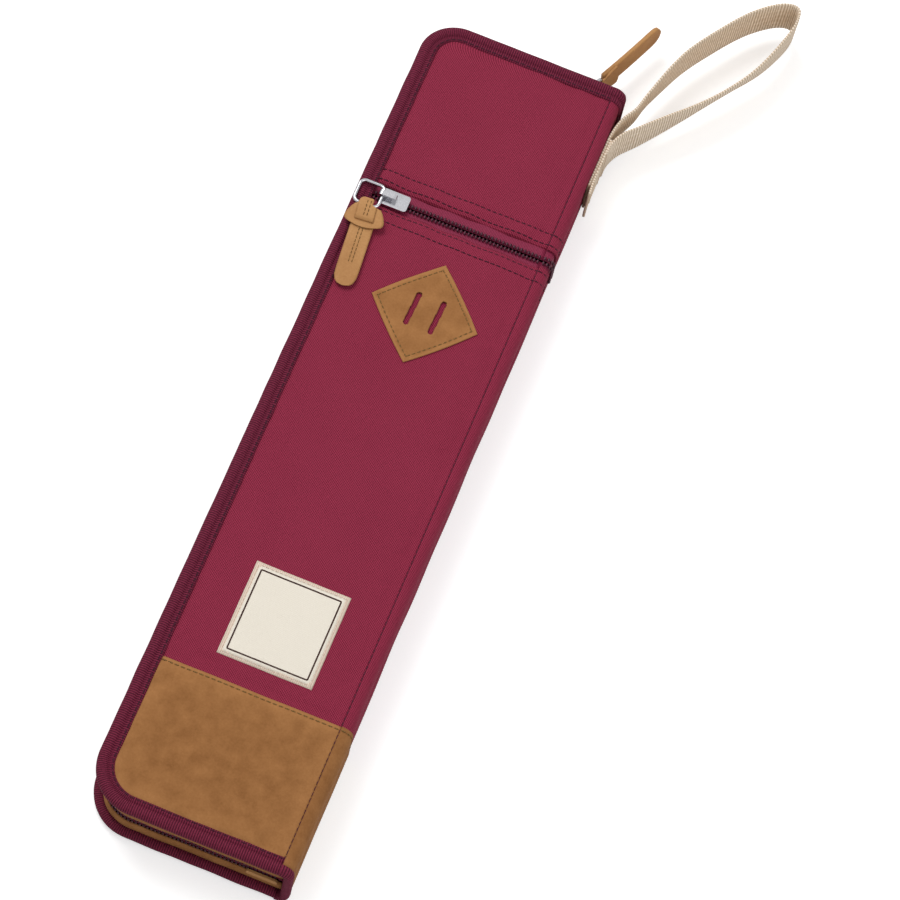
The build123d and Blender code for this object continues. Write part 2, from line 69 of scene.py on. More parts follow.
# ---- sizes read from the frame, in millimetres
EDGE_LOW, EDGE_HIGH = mm_box("front_binding")
LEFT, BOTTOM, TOP, FRONT = EDGE_LOW.x, EDGE_LOW.y, EDGE_HIGH.y, EDGE_HIGH.z
SPINE = mm_box("spine_panel")[1].x
LEATHER_TOP = mm_box("front_leather")[1].y
ZIP_Y = (mm_box("pocket_coil_lower")[0].y + mm_box("pocket_coil_upper")[1].y) / 2
COIL_Z = mm_box("pocket_coil_lower")[0].z
BACK_CHAIN = mm_box("back_zip_coil")[1].z
FRONT_CHAIN = mm_box("front_zip_coil")[0].z
GUSSET_TOP = mm_box("front_gusset")[1].z
PATCH_LOW, PATCH_HIGH = mm_box("lash_patch")
LABEL_LOW, LABEL_HIGH = mm_box("label_patch")
SEAM_LOW, SEAM_HIGH = mm_box("strap_seam")

# ---- the maker's own sizes, in millimetres
SEAM_X = SPINE - 5.6
TOP_CORNER = 20.0
BOTTOM_CORNER = 25.0
SKIN = 0.8
SPINE_SPLIT = FRONT / 2
WRAP_ARC = (SPINE - SEAM_X) * math.pi / 2
WRAP_FULL = WRAP_ARC + FRONT - (SPINE - SEAM_X) - SPINE_SPLIT
FOLD_UP, FOLD_DOWN = ZIP_Y + 6.5, ZIP_Y - 4.0
STITCH_GAP = 0.6
TUCK = 4.5
EDGE_IN = 7
PANEL_INSET = 7.5
GUSSET_END = SPINE - 3.3
ZIP_ROWS = (ZIP_Y + 9.3, ZIP_Y + 15.5, ZIP_Y - 7.0, ZIP_Y - 13.0)
SLOTS_X = (-6.6, 6.8)


# ---- helpers that make meshes
def deselect():
    """Nothing selected and nothing active."""
    for thing in bpy.context.selected_objects:
        thing.select_set(False)
    bpy.context.view_layer.objects.active = None


def select(piece):
    """Only this piece selected and active."""
    deselect()
    piece.select_set(True)
    bpy.context.view_layer.objects.active = piece


def apply_modifier(piece, kind, **settings):
    """Adds one modifier with its settings and applies it."""
    select(piece)
    modifier = piece.modifiers.new(kind.title(), kind)
    for name, value in settings.items():
        setattr(modifier, name, value)
    bpy.ops.object.modifier_apply(modifier=modifier.name)


def close_and_orient(piece, fill=True):
    """Merges doubles, closes open ends and turns every face outwards."""
    select(piece)
    bpy.ops.object.mode_set(mode="EDIT")
    bpy.ops.mesh.select_all(action="SELECT")
    bpy.ops.mesh.remove_doubles(threshold=0.00001)
    if fill:
        bpy.ops.mesh.select_all(action="DESELECT")
        bpy.ops.mesh.select_mode(type="EDGE")
        bpy.ops.mesh.select_non_manifold()
        bpy.ops.mesh.fill_holes(sides=0)
        bpy.ops.mesh.select_mode(type="VERT")
    bpy.ops.mesh.select_all(action="SELECT")
    bpy.ops.mesh.normals_make_consistent(inside=False)
    bpy.ops.object.mode_set(mode="OBJECT")


def grid(name, columns, rows, place, size, facing=None, wall=SKIN, tube=False):
    """A sheet of columns x rows cells: place(u, v) is its point, size its UV in millimetres.

    facing is the way its good side looks, or None for outwards from the bag. A wall makes it
    a solid sheet. A tube's first and last rows meet, and its ends are closed."""
    deselect()
    bpy.ops.mesh.primitive_grid_add(x_subdivisions=columns, y_subdivisions=rows, size=2)
    piece = bpy.context.object
    piece.name = piece.data.name = name.replace(" ", "_")
    mesh = piece.data
    spots = [((v.co.x + 1) / 2, (v.co.y + 1) / 2) for v in mesh.vertices]
    for vertex, (u, v) in zip(mesh.vertices, spots):
        vertex.co = Vector(place(u, v)) * MM
    layer = mesh.uv_layers.active or mesh.uv_layers.new(name="UVMap")
    for loop in mesh.loops:
        u, v = spots[loop.vertex_index]
        layer.data[loop.index].uv = (u * size[0] * MM, v * size[1] * MM)
    mesh.update()
    if tube:
        close_and_orient(piece)
    else:
        total = 0.0
        for face in mesh.polygons:
            centre = face.center
            heart = Vector((0, centre.y * 0.85, SPINE_SPLIT * MM))
            way = Vector(facing) if facing else (centre - heart)
            total += face.normal.dot(way) * face.area
        if total < 0:
            select(piece)
            bpy.ops.object.mode_set(mode="EDIT")
            bpy.ops.mesh.select_all(action="SELECT")
            bpy.ops.mesh.flip_normals()
            bpy.ops.object.mode_set(mode="OBJECT")
        if wall:
            apply_modifier(piece, "SOLIDIFY", thickness=wall * MM, offset=-1)
    for face in mesh.polygons:
        face.use_smooth = True
    return piece


def smooth_curve(points, step):
    """Points about a step apart on a smooth curve through the given ones."""
    vectors = [Vector(p) for p in points]
    ends = [2 * vectors[0] - vectors[1]] + vectors + [2 * vectors[-1] - vectors[-2]]
    result = []
    for i in range(1, len(ends) - 2):
        a, b, c, d = ends[i - 1:i + 3]
        count = max(1, round((c - b).length / step))
        for k in range(count):
            t = k / count
            result.append(0.5 * ((2 * b) + (c - a) * t + (2 * a - 5 * b + 4 * c - d) * t ** 2
                                 + (3 * b - a - 3 * c + d) * t ** 3))
    result.append(vectors[-1])
    return result


def capsule(length, width, height):
    """The points and faces of one small rounded bead, long in X."""
    deselect()
    bpy.ops.mesh.primitive_uv_sphere_add(segments=8, ring_count=5, radius=0.5,
                                         rotation=(0, math.pi / 2, 0))
    bead = bpy.context.object
    bpy.ops.object.transform_apply(location=True, rotation=True, scale=True)
    points = []
    for vertex in bead.data.vertices:
        x, y, z = vertex.co
        blunt = math.copysign(abs(2 * x) ** 0.7 / 2, x)
        points.append(Vector((blunt * length, y * width, z * height)))
    faces = [tuple(face.vertices) for face in bead.data.polygons]
    bpy.data.objects.remove(bead, do_unlink=True)
    return points, faces


def scatter(name, unit, frames):
    """One mesh of copies of a unit, each at (place, along, up) in millimetres."""
    points, faces = unit
    all_points, all_faces = [], []
    for place, along, up in frames:
        x = Vector(along).normalized()
        z = (Vector(up) - x * Vector(up).dot(x)).normalized()
        y = z.cross(x)
        start = len(all_points)
        turn = Matrix((x, y, z)).transposed()
        all_points += [(Vector(place) + turn @ p) * MM for p in points]
        all_faces += [tuple(start + i for i in face) for face in faces]
    name = name.replace(" ", "_")
    mesh = bpy.data.meshes.new(name)
    mesh.from_pydata(all_points, [], all_faces)
    piece = bpy.data.objects.new(name, mesh)
    bpy.context.scene.collection.objects.link(piece)
    close_and_orient(piece, fill=False)
    for face in mesh.polygons:
        face.use_smooth = True
    return piece


def stitched(lines, pitch):
    """Frames at equal steps along lines of (point, up), for stitches or zip teeth."""
    frames = []
    for line in lines:
        carried = pitch / 2
        for (a, up_a), (b, up_b) in zip(line, line[1:]):
            a, b = Vector(a), Vector(b)
            length = (b - a).length
            while carried <= length and length > 0:
                t = carried / length
                up = Vector(up_a).lerp(Vector(up_b), t)
                frames.append((a.lerp(b, t), b - a, up))
                carried += pitch
            carried -= length
    return frames


# ---- the bag's own outlines
def stations(step, end_x):
    """(outer point, inward normal, distance) along the top, the left side and the bottom.

    It starts and ends at the same X, beside the spine."""
    points = []
    count = max(2, int((end_x - LEFT - TOP_CORNER) / step))
    for k in range(count):
        x = end_x + (LEFT + TOP_CORNER - end_x) * k / count
        points.append((Vector((x, TOP)), Vector((0, -1))))
    for radius, sign, first in ((TOP_CORNER, 1, 90), (BOTTOM_CORNER, -1, 180)):
        centre = Vector((LEFT + radius, sign * TOP - sign * radius))
        turns = max(6, int(radius * math.pi / 2 / step))
        for k in range(turns + 1):
            angle = math.radians(first + 90 * k / turns)
            way = Vector((math.cos(angle), math.sin(angle)))
            points.append((centre + way * radius, -way))
        if sign > 0:
            side = TOP - TOP_CORNER - (BOTTOM + BOTTOM_CORNER)
            count = int(side / step)
            for k in range(1, count):
                y = TOP - TOP_CORNER - side * k / count
                points.append((Vector((LEFT, y)), Vector((1, 0))))
    count = max(2, int((end_x - LEFT - BOTTOM_CORNER) / step))
    for k in range(1, count + 1):
        x = LEFT + BOTTOM_CORNER + (end_x - LEFT - BOTTOM_CORNER) * k / count
        points.append((Vector((x, BOTTOM)), Vector((0, 1))))
    result, travelled = [], 0.0
    for i, (point, way) in enumerate(points):
        travelled += (point - points[i - 1][0]).length if i else 0.0
        result.append((point, way, travelled))
    return result


def swept(name, path, profile, tube=False, wall=SKIN, wobble=0.0, seed=0):
    """A profile of (inset, z) carried along the outline."""
    lengths = [0.0]
    for a, b in zip(profile, profile[1:]):
        lengths.append(lengths[-1] + (Vector(a) - Vector(b)).length)

    def place(u, v):
        point, way, far = path[round(u * (len(path) - 1))]
        inset, z = profile[round(v * (len(profile) - 1))]
        shake = wobble * noise.noise(Vector((far * 0.07, seed, z * 0.02)))
        spot = point + way * (inset + shake)
        return spot.x, spot.y, z + shake * 0.6

    return grid(name, len(path) - 1, len(profile) - 1, place, (path[-1][2], lengths[-1]),
                wall=wall, tube=tube)


def left_edge(y, inset):
    """The x of the outline moved inwards, at this height."""
    for radius, sign in ((TOP_CORNER, 1), (BOTTOM_CORNER, -1)):
        centre = sign * (TOP - radius)
        reach = max(0.5, radius - inset)
        over = (y - centre) * sign
        if over > 0:
            return LEFT + radius - math.sqrt(max(0.0, reach ** 2 - over ** 2))
    return LEFT + inset


def wrap_point(far, lift):
    """A point round the spine, a distance from the front seam, lifted off the skin."""
    radius = SPINE - SEAM_X
    if far < WRAP_ARC:
        angle = far / radius
        way = Vector((math.sin(angle), 0, math.cos(angle)))
        return Vector((SEAM_X, 0, FRONT - radius)) + way * (radius + lift), way
    drop = FRONT - radius - (far - WRAP_ARC)
    return Vector((SPINE + lift, 0, drop)), Vector((1, 0, 0))


def mirrored(point):
    """The same point on the back of the bag."""
    return Vector((point.x, point.y, FRONT - point.z))


def inset_line(end_x, inset, z, up=None):
    """(point, up) pairs along the outline moved inwards; without up they face outwards."""
    return [((p.x + n.x * inset, p.y + n.y * inset, z), up or (-n.x, -n.y, 0))
            for p, n, far in stations(1.5, end_x)]


def spine_line(y, lift):
    """(point, up) pairs round the spine's front half at one height, the k-th lifted lift(k)."""
    line = []
    for k in range(31):
        point, way = wrap_point(WRAP_FULL * k / 30, lift(k))
        point.y = y
        line.append((point, way))
    return line


# ---- how the padded front lies
PAD_STEP = 4.0
PAD_RISE = 0.9
PAD = {}


def settle_padding():
    """Lets a sheet held at its seams swell under pressure, and keeps its heights."""
    columns = int((SEAM_X - LEFT) / PAD_STEP)
    rows = int((TOP - BOTTOM) / PAD_STEP)
    deselect()
    bpy.ops.mesh.primitive_grid_add(x_subdivisions=columns, y_subdivisions=rows, size=2)
    pad = bpy.context.object
    held = pad.vertex_groups.new(name="Seams")
    cells = []
    for vertex in pad.data.vertices:
        u, v = (vertex.co.x + 1) / 2, (vertex.co.y + 1) / 2
        x, y = LEFT + (SEAM_X - LEFT) * u, BOTTOM + (TOP - BOTTOM) * v
        cells.append((round(u * columns), round(v * rows)))
        start = 0.4 * noise.noise(Vector((x * 0.05, y * 0.04, 9)))
        vertex.co = Vector((x, y, start)) * MM
        near_edge = min(x - LEFT, SEAM_X - x, y - BOTTOM, TOP - y) < 7
        if near_edge or abs(y - ZIP_Y) < 8 or abs(y - LEATHER_TOP) < 3:
            held.add([vertex.index], 1.0, "REPLACE")
    cloth = pad.modifiers.new("Cloth", "CLOTH")
    cloth.settings.vertex_group_mass = "Seams"
    cloth.settings.use_pressure = True
    cloth.settings.uniform_pressure_force = 4.0
    cloth.settings.effector_weights.gravity = 0.0
    cloth.settings.shrink_min = -0.01
    scene = bpy.context.scene
    for moment in range(1, 21):
        scene.frame_set(moment)
    settled = pad.evaluated_get(bpy.context.evaluated_depsgraph_get()).data
    for cell, vertex in zip(cells, settled.vertices):
        rise = vertex.co.z / MM
        PAD[cell] = PAD_RISE * math.tanh(rise / PAD_RISE)
    scene.frame_set(1)
    bpy.data.objects.remove(pad, do_unlink=True)


def padding(x, y):
    """The padding's height at a place, from the settled sheet or a plain crown."""
    if not PAD:
        across = (x - (LEFT + SEAM_X) / 2) / ((SEAM_X - LEFT) / 2)
        return PAD_RISE * (1 - min(1.0, abs(across)) ** 3)
    u = min(max((x - LEFT) / (SEAM_X - LEFT), 0.0), 0.9999) * int((SEAM_X - LEFT) / PAD_STEP)
    v = min(max((y - BOTTOM) / (TOP - BOTTOM), 0.0), 0.9999) * int((TOP - BOTTOM) / PAD_STEP)
    i, j = int(u), int(v)
    p, q = [t * t * (3 - 2 * t) for t in (u - i, v - j)]
    low = PAD[i, j] * (1 - p) + PAD[i + 1, j] * p
    high = PAD[i, j + 1] * (1 - p) + PAD[i + 1, j + 1] * p
    return low * (1 - q) + high * q


def front_height(x, y):
    """The height of the padded front at a place."""
    across = (x - (LEFT + SEAM_X) / 2) / ((SEAM_X - LEFT) / 2)
    z = FRONT - 0.3 + padding(x, y)
    soft = Vector((x * 0.018 + 3.1, y * 0.011, 0.4))
    z += 0.6 * noise.noise(soft) + 0.3 * noise.noise(soft * 3.2)
    diagonal = (x * 0.8 + y * 0.6) * 0.045
    z += 0.22 * math.sin(diagonal) * (1 - across ** 2)
    for line in (FOLD_UP, FOLD_DOWN):
        away = abs(y - line)
        pucker = math.exp(-away / 14)
        z += 0.30 * pucker * math.sin(x * 0.23 + 1.7 * math.sin(x * 0.061))
    for line in ZIP_ROWS:
        z -= 0.34 * math.exp(-((y - line) / 0.8) ** 2)
    z -= 0.42 * math.exp(-((x - SEAM_X) / 1.0) ** 2)
    seam = abs(x - SEAM_X)
    waver = 2 * noise.noise(Vector((0, y * 0.05, 0)))
    z += 0.16 * math.exp(-seam / 7) * math.sin(y * 0.31 + waver)
    blend = min(1.0, seam / 3.0)
    z = FRONT + (z - FRONT) * blend - 0.3 * (1 - blend)
    for edge, way in ((FOLD_UP, 1), (FOLD_DOWN, -1)):
        into = (y - edge) * way
        if 0 <= into < 2.2:
            z -= 2.0 * (1 - into / 2.2) ** 2
    return z


# ---- materials
def node(tree, kind, **settings):
    """One shader node with its settings."""
    made = tree.nodes.new(kind)
    for name, value in settings.items():
        setattr(made, name, value)
    return made


def maths(tree, operation, a, b=None):
    """A Math node on sockets or numbers; its output socket."""
    made = node(tree, "ShaderNodeMath", operation=operation)
    for slot, value in enumerate((a, b)):
        if value is None:
            continue
        if isinstance(value, (int, float)):
            made.inputs[slot].default_value = value
        else:
            tree.links.new(value, made.inputs[slot])
    return made.outputs[0]


def new_group(name, sockets_in):
    """A node group of one vector input, some values, and Shade and Height outputs."""
    tree = bpy.data.node_groups.new(name, "ShaderNodeTree")
    tree.interface.new_socket("Vector", in_out="INPUT", socket_type="NodeSocketVector")
    for label, value in sockets_in:
        made = tree.interface.new_socket(label, in_out="INPUT", socket_type="NodeSocketFloat")
        made.default_value = value
    for label in ("Shade", "Height"):
        tree.interface.new_socket(label, in_out="OUTPUT", socket_type="NodeSocketFloat")
    return tree, node(tree, "NodeGroupInput"), node(tree, "NodeGroupOutput")


def noise_value(tree, vector, scale, detail=3.0):
    """A noise texture's value."""
    made = node(tree, "ShaderNodeTexNoise")
    made.inputs["Scale"].default_value = scale
    made.inputs["Detail"].default_value = detail
    tree.links.new(vector, made.inputs["Vector"])
    return made.outputs["Fac"]


def weave_group():
    """Plain weave: threads over and under, with fine grain and a broad noise of painted shade for
    soft folds.
    """
    tree, put, out = new_group("Woven cloth", (("Thread", 0.0006),))
    split = node(tree, "ShaderNodeSeparateXYZ")
    tree.links.new(put.outputs["Vector"], split.inputs[0])
    turn = [maths(tree, "MULTIPLY", maths(tree, "DIVIDE", split.outputs[i], put.outputs["Thread"]),
                  math.pi) for i in (0, 1)]
    warp = maths(tree, "ABSOLUTE", maths(tree, "SINE", turn[0]))
    weft = maths(tree, "ABSOLUTE", maths(tree, "SINE", turn[1]))
    diagonal = maths(tree, "SINE", maths(tree, "ADD", turn[0],
                                         maths(tree, "MULTIPLY", turn[1], 1.4)))
    height = maths(tree, "ADD", maths(tree, "MULTIPLY", warp, weft),
                   maths(tree, "MULTIPLY", diagonal, 0.45))
    fine = noise_value(tree, put.outputs["Vector"], 1400.0, 2.0)
    # a broad low noise painted into the colour as the shade of soft folds
    painted_fold_shade = noise_value(tree, put.outputs["Vector"], 32.0, 4.0)
    shade = maths(tree, "ADD", maths(tree, "MULTIPLY", height, 0.62),
                  maths(tree, "ADD", maths(tree, "MULTIPLY", fine, 0.35),
                        maths(tree, "MULTIPLY", painted_fold_shade, 0.12)))
    tree.links.new(maths(tree, "SUBTRACT", shade, 0.02), out.inputs["Shade"])
    tree.links.new(maths(tree, "ADD", height, maths(tree, "MULTIPLY", fine, 0.7)),
                   out.inputs["Height"])
    return tree


def rib_group():
    """Ribs across a tape or a webbing."""
    tree, put, out = new_group("Ribbed tape", (("Rib", 0.001), ("Cross", 0.0)))
    split = node(tree, "ShaderNodeSeparateXYZ")
    tree.links.new(put.outputs["Vector"], split.inputs[0])
    along, over = [maths(tree, "SINE", maths(tree, "MULTIPLY", maths(
        tree, "DIVIDE", split.outputs[i], put.outputs["Rib"]), 2 * math.pi)) for i in (0, 1)]
    crossed = maths(tree, "MULTIPLY", over, put.outputs["Cross"])
    height = maths(tree, "ADD", maths(tree, "MULTIPLY", along, 0.5),
                   maths(tree, "MULTIPLY", crossed, 0.5))
    fine = noise_value(tree, put.outputs["Vector"], 900.0, 2.0)
    shade = maths(tree, "ADD", maths(tree, "MULTIPLY", height, 0.85),
                  maths(tree, "MULTIPLY", fine, 0.85))
    tree.links.new(shade, out.inputs["Shade"])
    tree.links.new(height, out.inputs["Height"])
    return tree


def leather_group():
    """Brushed leather: clouded colour and a fine nap."""
    tree, put, out = new_group("Brushed leather", (("Cloud", 45.0), ("Nap", 900.0)))
    clouds = node(tree, "ShaderNodeTexNoise")
    clouds.inputs["Detail"].default_value = 5.0
    tree.links.new(put.outputs["Vector"], clouds.inputs["Vector"])
    tree.links.new(put.outputs["Cloud"], clouds.inputs["Scale"])
    nap = node(tree, "ShaderNodeTexNoise")
    nap.inputs["Detail"].default_value = 4.0
    tree.links.new(put.outputs["Vector"], nap.inputs["Vector"])
    tree.links.new(put.outputs["Nap"], nap.inputs["Scale"])
    shade = maths(tree, "ADD", maths(tree, "MULTIPLY", clouds.outputs["Fac"], 1.1),
                  maths(tree, "MULTIPLY", nap.outputs["Fac"], 0.5))
    tree.links.new(maths(tree, "SUBTRACT", shade, 0.3), out.inputs["Shade"])
    tree.links.new(nap.outputs["Fac"], out.inputs["Height"])
    return tree


def linear(colour):
    """An sRGB colour of 0 to 255 as linear light."""
    values = [c / 255 for c in colour]
    return tuple(v / 12.92 if v < 0.04045 else ((v + 0.055) / 1.055) ** 2.4
                 for v in values) + (1.0,)


GROUPS = {}
MATERIALS = {}


def finish(name, dark, light, group, rough, bump=0.0, depth=0.0002, sheen=0.0, metal=0.0,
           coordinates="UV", wear=0.0, **values):
    """One material: a pattern group between two colours, with relief."""
    if name in MATERIALS:
        return MATERIALS[name]
    makers = {"weave": weave_group, "rib": rib_group, "leather": leather_group}
    if group not in GROUPS:
        GROUPS[group] = makers[group]()
    material = bpy.data.materials.new(name)
    material.use_nodes = True
    tree = material.node_tree
    shader = tree.nodes["Principled BSDF"]
    place = node(tree, "ShaderNodeTexCoord")
    pattern = node(tree, "ShaderNodeGroup", node_tree=GROUPS[group])
    tree.links.new(place.outputs[coordinates], pattern.inputs["Vector"])
    for label, value in values.items():
        pattern.inputs[label].default_value = value
    ramp = node(tree, "ShaderNodeMix", data_type="RGBA", clamp_factor=True)
    shade = pattern.outputs["Shade"]
    if wear:
        rubbed = node(tree, "ShaderNodeAttribute", attribute_name="Wear")
        shade = maths(tree, "ADD", shade, maths(tree, "MULTIPLY", rubbed.outputs["Fac"], wear))
    tree.links.new(shade, ramp.inputs["Factor"])
    colours = [socket for socket in ramp.inputs if socket.type == "RGBA"]
    colours[0].default_value = linear(dark)
    colours[1].default_value = linear(light)
    result = [socket for socket in ramp.outputs if socket.type == "RGBA"][0]
    tree.links.new(result, shader.inputs["Base Color"])
    if bump:
        relief = node(tree, "ShaderNodeBump")
        relief.inputs["Strength"].default_value = bump
        relief.inputs["Distance"].default_value = depth
        tree.links.new(pattern.outputs["Height"], relief.inputs["Height"])
        tree.links.new(relief.outputs["Normal"], shader.inputs["Normal"])
    shader.inputs["Roughness"].default_value = rough
    shader.inputs["Metallic"].default_value = metal
    shader.inputs["Sheen Weight"].default_value = sheen
    shader.inputs["Specular IOR Level"].default_value = 0.18
    MATERIALS[name] = material
    return material


def shell_fabric():
    """The burgundy cloth of the shell."""
    return finish("Burgundy outer cloth", (86, 4, 30), (172, 58, 86), "weave", 0.85, 0.6, 0.0002,
                  Thread=0.0008)


def lining_fabric():
    """The smooth dark cloth inside."""
    return finish("Lining fabric", (38, 34, 38), (66, 60, 64), "weave", 0.8, 0.2, Thread=0.0004)


def binding_tape():
    """The ribbed tape round the edges."""
    return finish("Binding tape", (66, 4, 28), (132, 44, 70), "rib", 0.8, 0.9, 0.0003,
                  Rib=0.0012)


def satin_tape():
    """The zips' woven tape."""
    return finish("Zip tape", (104, 16, 46), (150, 48, 80), "rib", 0.55, 0.3, Rib=0.0008,
                  Cross=0.6)


def nubuck():
    """The brushed leather of the base and the patch."""
    return finish("Brushed base leather", (120, 76, 38), (166, 116, 70), "leather", 0.9, 0.35,
                  0.0002, coordinates="Object", Cloud=110.0, wear=0.5)


def smooth_leather():
    """The smooth tan leather of the pulls."""
    return finish("Smooth tan leather", (156, 108, 62), (200, 152, 100), "leather", 0.6, 0.2,
                  0.0001, coordinates="Object")


def webbing_cloth():
    """The beige webbing of the hand strap."""
    return finish("Beige webbing", (190, 165, 136), (254, 240, 222), "rib", 0.85, 0.6, 0.0002,
                  Rib=0.0016, Cross=0.12)


def dark_thread():
    """The sewing thread of the fabric."""
    return finish("Dark sewing thread", (44, 6, 22), (74, 18, 40), "rib", 0.6,
                  coordinates="Object")


def tan_thread():
    """The sewing thread of the leather."""
    return finish("Olive sewing thread", (98, 72, 36), (136, 104, 58), "rib", 0.6,
                  coordinates="Object")


def coil_plastic():
    """The dark coils of the zips: their own dark colour, with the pale end lifted towards grey as
    a painted highlight.
    """
    return finish("Zip coil", (44, 12, 26), (98, 54, 68), "rib", 0.32, coordinates="Object")


def bright_metal():
    """The plated sliders and rings."""
    return finish("Bright plate", (150, 150, 154), (206, 206, 210), "leather", 0.16, metal=1.0,
                  coordinates="Object")


def label_cloth():
    """The woven cream label."""
    return finish("Label cloth", (220, 211, 194), (246, 240, 228), "weave", 0.8, 0.3,
                  coordinates="Object", Thread=0.0005)


def label_border():
    """The label's folded border."""
    return finish("Label border", (212, 190, 170), (236, 220, 204), "rib", 0.8, 0.3,
                  coordinates="Object")


def frame_thread():
    """The woven frame line of the label."""
    return finish("Label frame thread", (48, 28, 26), (72, 44, 38), "rib", 0.7,
                  coordinates="Object")


def rub(piece, amount):
    """Stores how far each point is worn pale, from amount(x, y) in millimetres."""
    layer = piece.data.attributes.new("Wear", "FLOAT", "POINT")
    for vertex, value in zip(piece.data.vertices, layer.data):
        value.value = amount(vertex.co.x / MM, vertex.co.y / MM)


def dress(piece, material, slot):
    """Gives a piece its material; the slot is not used."""
    piece.data.materials.clear()
    piece.data.materials.append(material)
    return piece


def ride_wrap(piece, back):
    """Bakes the placement of a piece round the spine into its points."""
    if back:
        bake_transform(piece)
    else:
        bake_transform(piece)


# ---- the pieces
def front_skin(name, low, high, place_height, material, slot, wall=SKIN):
    """One padded sheet of the front from the binding to the seam."""
    def place(u, v):
        y = low + (high - low) * v
        start = left_edge(y, PANEL_INSET)
        x = start + (SEAM_X - start) * u
        tucked = min(x - start, TOP - EDGE_IN - y, y - BOTTOM - EDGE_IN) / TUCK
        z = place_height(x, y)
        if tucked < 1:
            z += (FRONT - 0.9 - z) * (1 - max(0.0, tucked)) ** 2
        return x, y, z

    piece = grid(name, 72, max(12, int((high - low) / 1.3)), place,
                 (SEAM_X - LEFT, high - low), facing=(0, 0, 1), wall=wall)
    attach(dress(piece, material, slot), "cover")
    return piece


def leather_height(x, y):
    """The height of the leather base over the front."""
    z = min(front_height(x, y), FRONT + 1.0) + 0.55
    into = LEATHER_TOP - y
    if into < 1.2:
        z -= 0.35 * (1 - max(0.0, into) / 1.2) ** 2
    return z


def back_height(x, y):
    """The flat back, which rests on the table."""
    return 0.35 + 0.12 * noise.noise(Vector((x * 0.04, y * 0.03, 2)))


def spine_strip(name, low, high, lift, material, slot, back=False, swell=0.5):
    """The cloth round one half of the spine between two heights."""
    def place(u, v):
        y = low + (high - low) * v
        point, way = wrap_point(WRAP_FULL * u, lift)
        ease = min(1.0, u * WRAP_FULL / 2)
        point = point + way * swell * ease * noise.noise(Vector((u * 1.3, y * 0.03, 5 + back)))
        point.y = y
        return mirrored(point) if back else point

    piece = grid(name, 18, max(6, int((high - low) / 2)), place, (WRAP_FULL, high - low))
    dress(piece, material, slot)
    ride_wrap(piece, back)
    return piece


ROLL_RISE = 1.5
ROLL = [(inset, FRONT + z) for inset, z in (
    (5.2, -3.4), (2.4, -3.4), (0.8, -2.9), (0.0, -1.7), (0.1, -0.2), (0.9, 0.85),
    (2.2, 1.4), (3.6, ROLL_RISE), (4.8, 1.1), (5.5, 0.35), (5.8, 0.0), (6.1, 0.3),
    (6.8, 0.75), (8.2, 0.7), (8.9, 0.4), (9.1, -0.4), (8.8, -1.0), (5.2, -2.0), (5.2, -3.4))]
FLAT_ROLL = [(inset, (FRONT + ROLL_RISE - z) * 0.9) for inset, z in ROLL]


def end_roll(name, end, back):
    """The binding round the spine's top or bottom end."""
    def place(u, v):
        inset, z = ROLL[round(v * (len(ROLL) - 1))]
        point, way = wrap_point(WRAP_FULL * u, z - FRONT)
        point.y = end - math.copysign(inset, end)
        return mirrored(point) if back else point

    piece = grid(name, 22, len(ROLL) - 1, place, (WRAP_FULL, 24), tube=True)
    dress(piece, binding_tape(), "binding_tape")
    ride_wrap(piece, back)
    return piece


class StickBagSettings(bpy.types.PropertyGroup):
    """Sizes that a user would change."""
    stitch_length: bpy.props.FloatProperty(
        name="Stitch length", description="Length of one stitch",
        default=2.6 * MM, unit="LENGTH")
    tooth_pitch: bpy.props.FloatProperty(
        name="Tooth pitch", description="Distance between the coil's turns",
        default=2.0 * MM, unit="LENGTH")
    webbing_thickness: bpy.props.FloatProperty(
        name="Webbing thickness", description="Thickness of the hand strap",
        default=1.5 * MM, unit="LENGTH")
    key_strength: bpy.props.FloatProperty(
        name="Key light", description="Power of the main lamp", default=23.0, min=0.0)


def settings():
    """The scene's stick bag settings."""
    return bpy.context.scene.stick_bag


class OBJECT_OT_front_panels(bpy.types.Operator):
    """Sews the padded front panels and the leather base"""
    bl_idname = "object.stick_bag_front_panels"
    bl_label = "Front panels"

    def execute(self, context):
        upper = front_skin("Front upper panel", FOLD_UP, TOP - EDGE_IN, front_height,
                           shell_fabric(), "shell_fabric")
        lower = front_skin("Front lower panel", LEATHER_TOP - 6, FOLD_DOWN, front_height,
                           shell_fabric(), "shell_fabric")
        base = front_skin("Front leather base", BOTTOM + EDGE_IN, LEATHER_TOP, leather_height,
                          nubuck(), "nubuck_leather", wall=1.0)
        rub(base, lambda x, y: math.exp(-min(
            x - left_edge(y, EDGE_IN), SEAM_X - x + 2, y - BOTTOM - EDGE_IN, LEATHER_TOP - y) / 6))
        for piece, node_name in ((upper, "front_panel_upper"), (lower, "front_panel_lower"),
                                 (base, "front_leather")):
            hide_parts(node_name)
        return {"FINISHED"}


class OBJECT_OT_back_panel(bpy.types.Operator):
    """Sews the back panel and its leather base"""
    bl_idname = "object.stick_bag_back_panel"
    bl_label = "Back panel"

    def execute(self, context):
        for name, low, high, material, slot, node_name, drop in (
                ("Back panel", LEATHER_TOP, TOP - EDGE_IN, shell_fabric(), "shell_fabric",
                 "back_panel", 0.0),
                ("Back leather base", BOTTOM + EDGE_IN, LEATHER_TOP, nubuck(),
                 "nubuck_leather", "back_leather", 0.2)):
            def place(u, v):
                y = low + (high - low) * v
                start = left_edge(y, PANEL_INSET)
                x = start + (SEAM_X - start) * u
                return x, y, back_height(x, y) - drop

            piece = grid(name, 40, max(12, int((high - low) / 3)), place,
                         (SEAM_X - LEFT, high - low), facing=(0, 0, -1))
            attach(dress(piece, material, slot), "back")
            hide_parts(node_name)
        return {"FINISHED"}


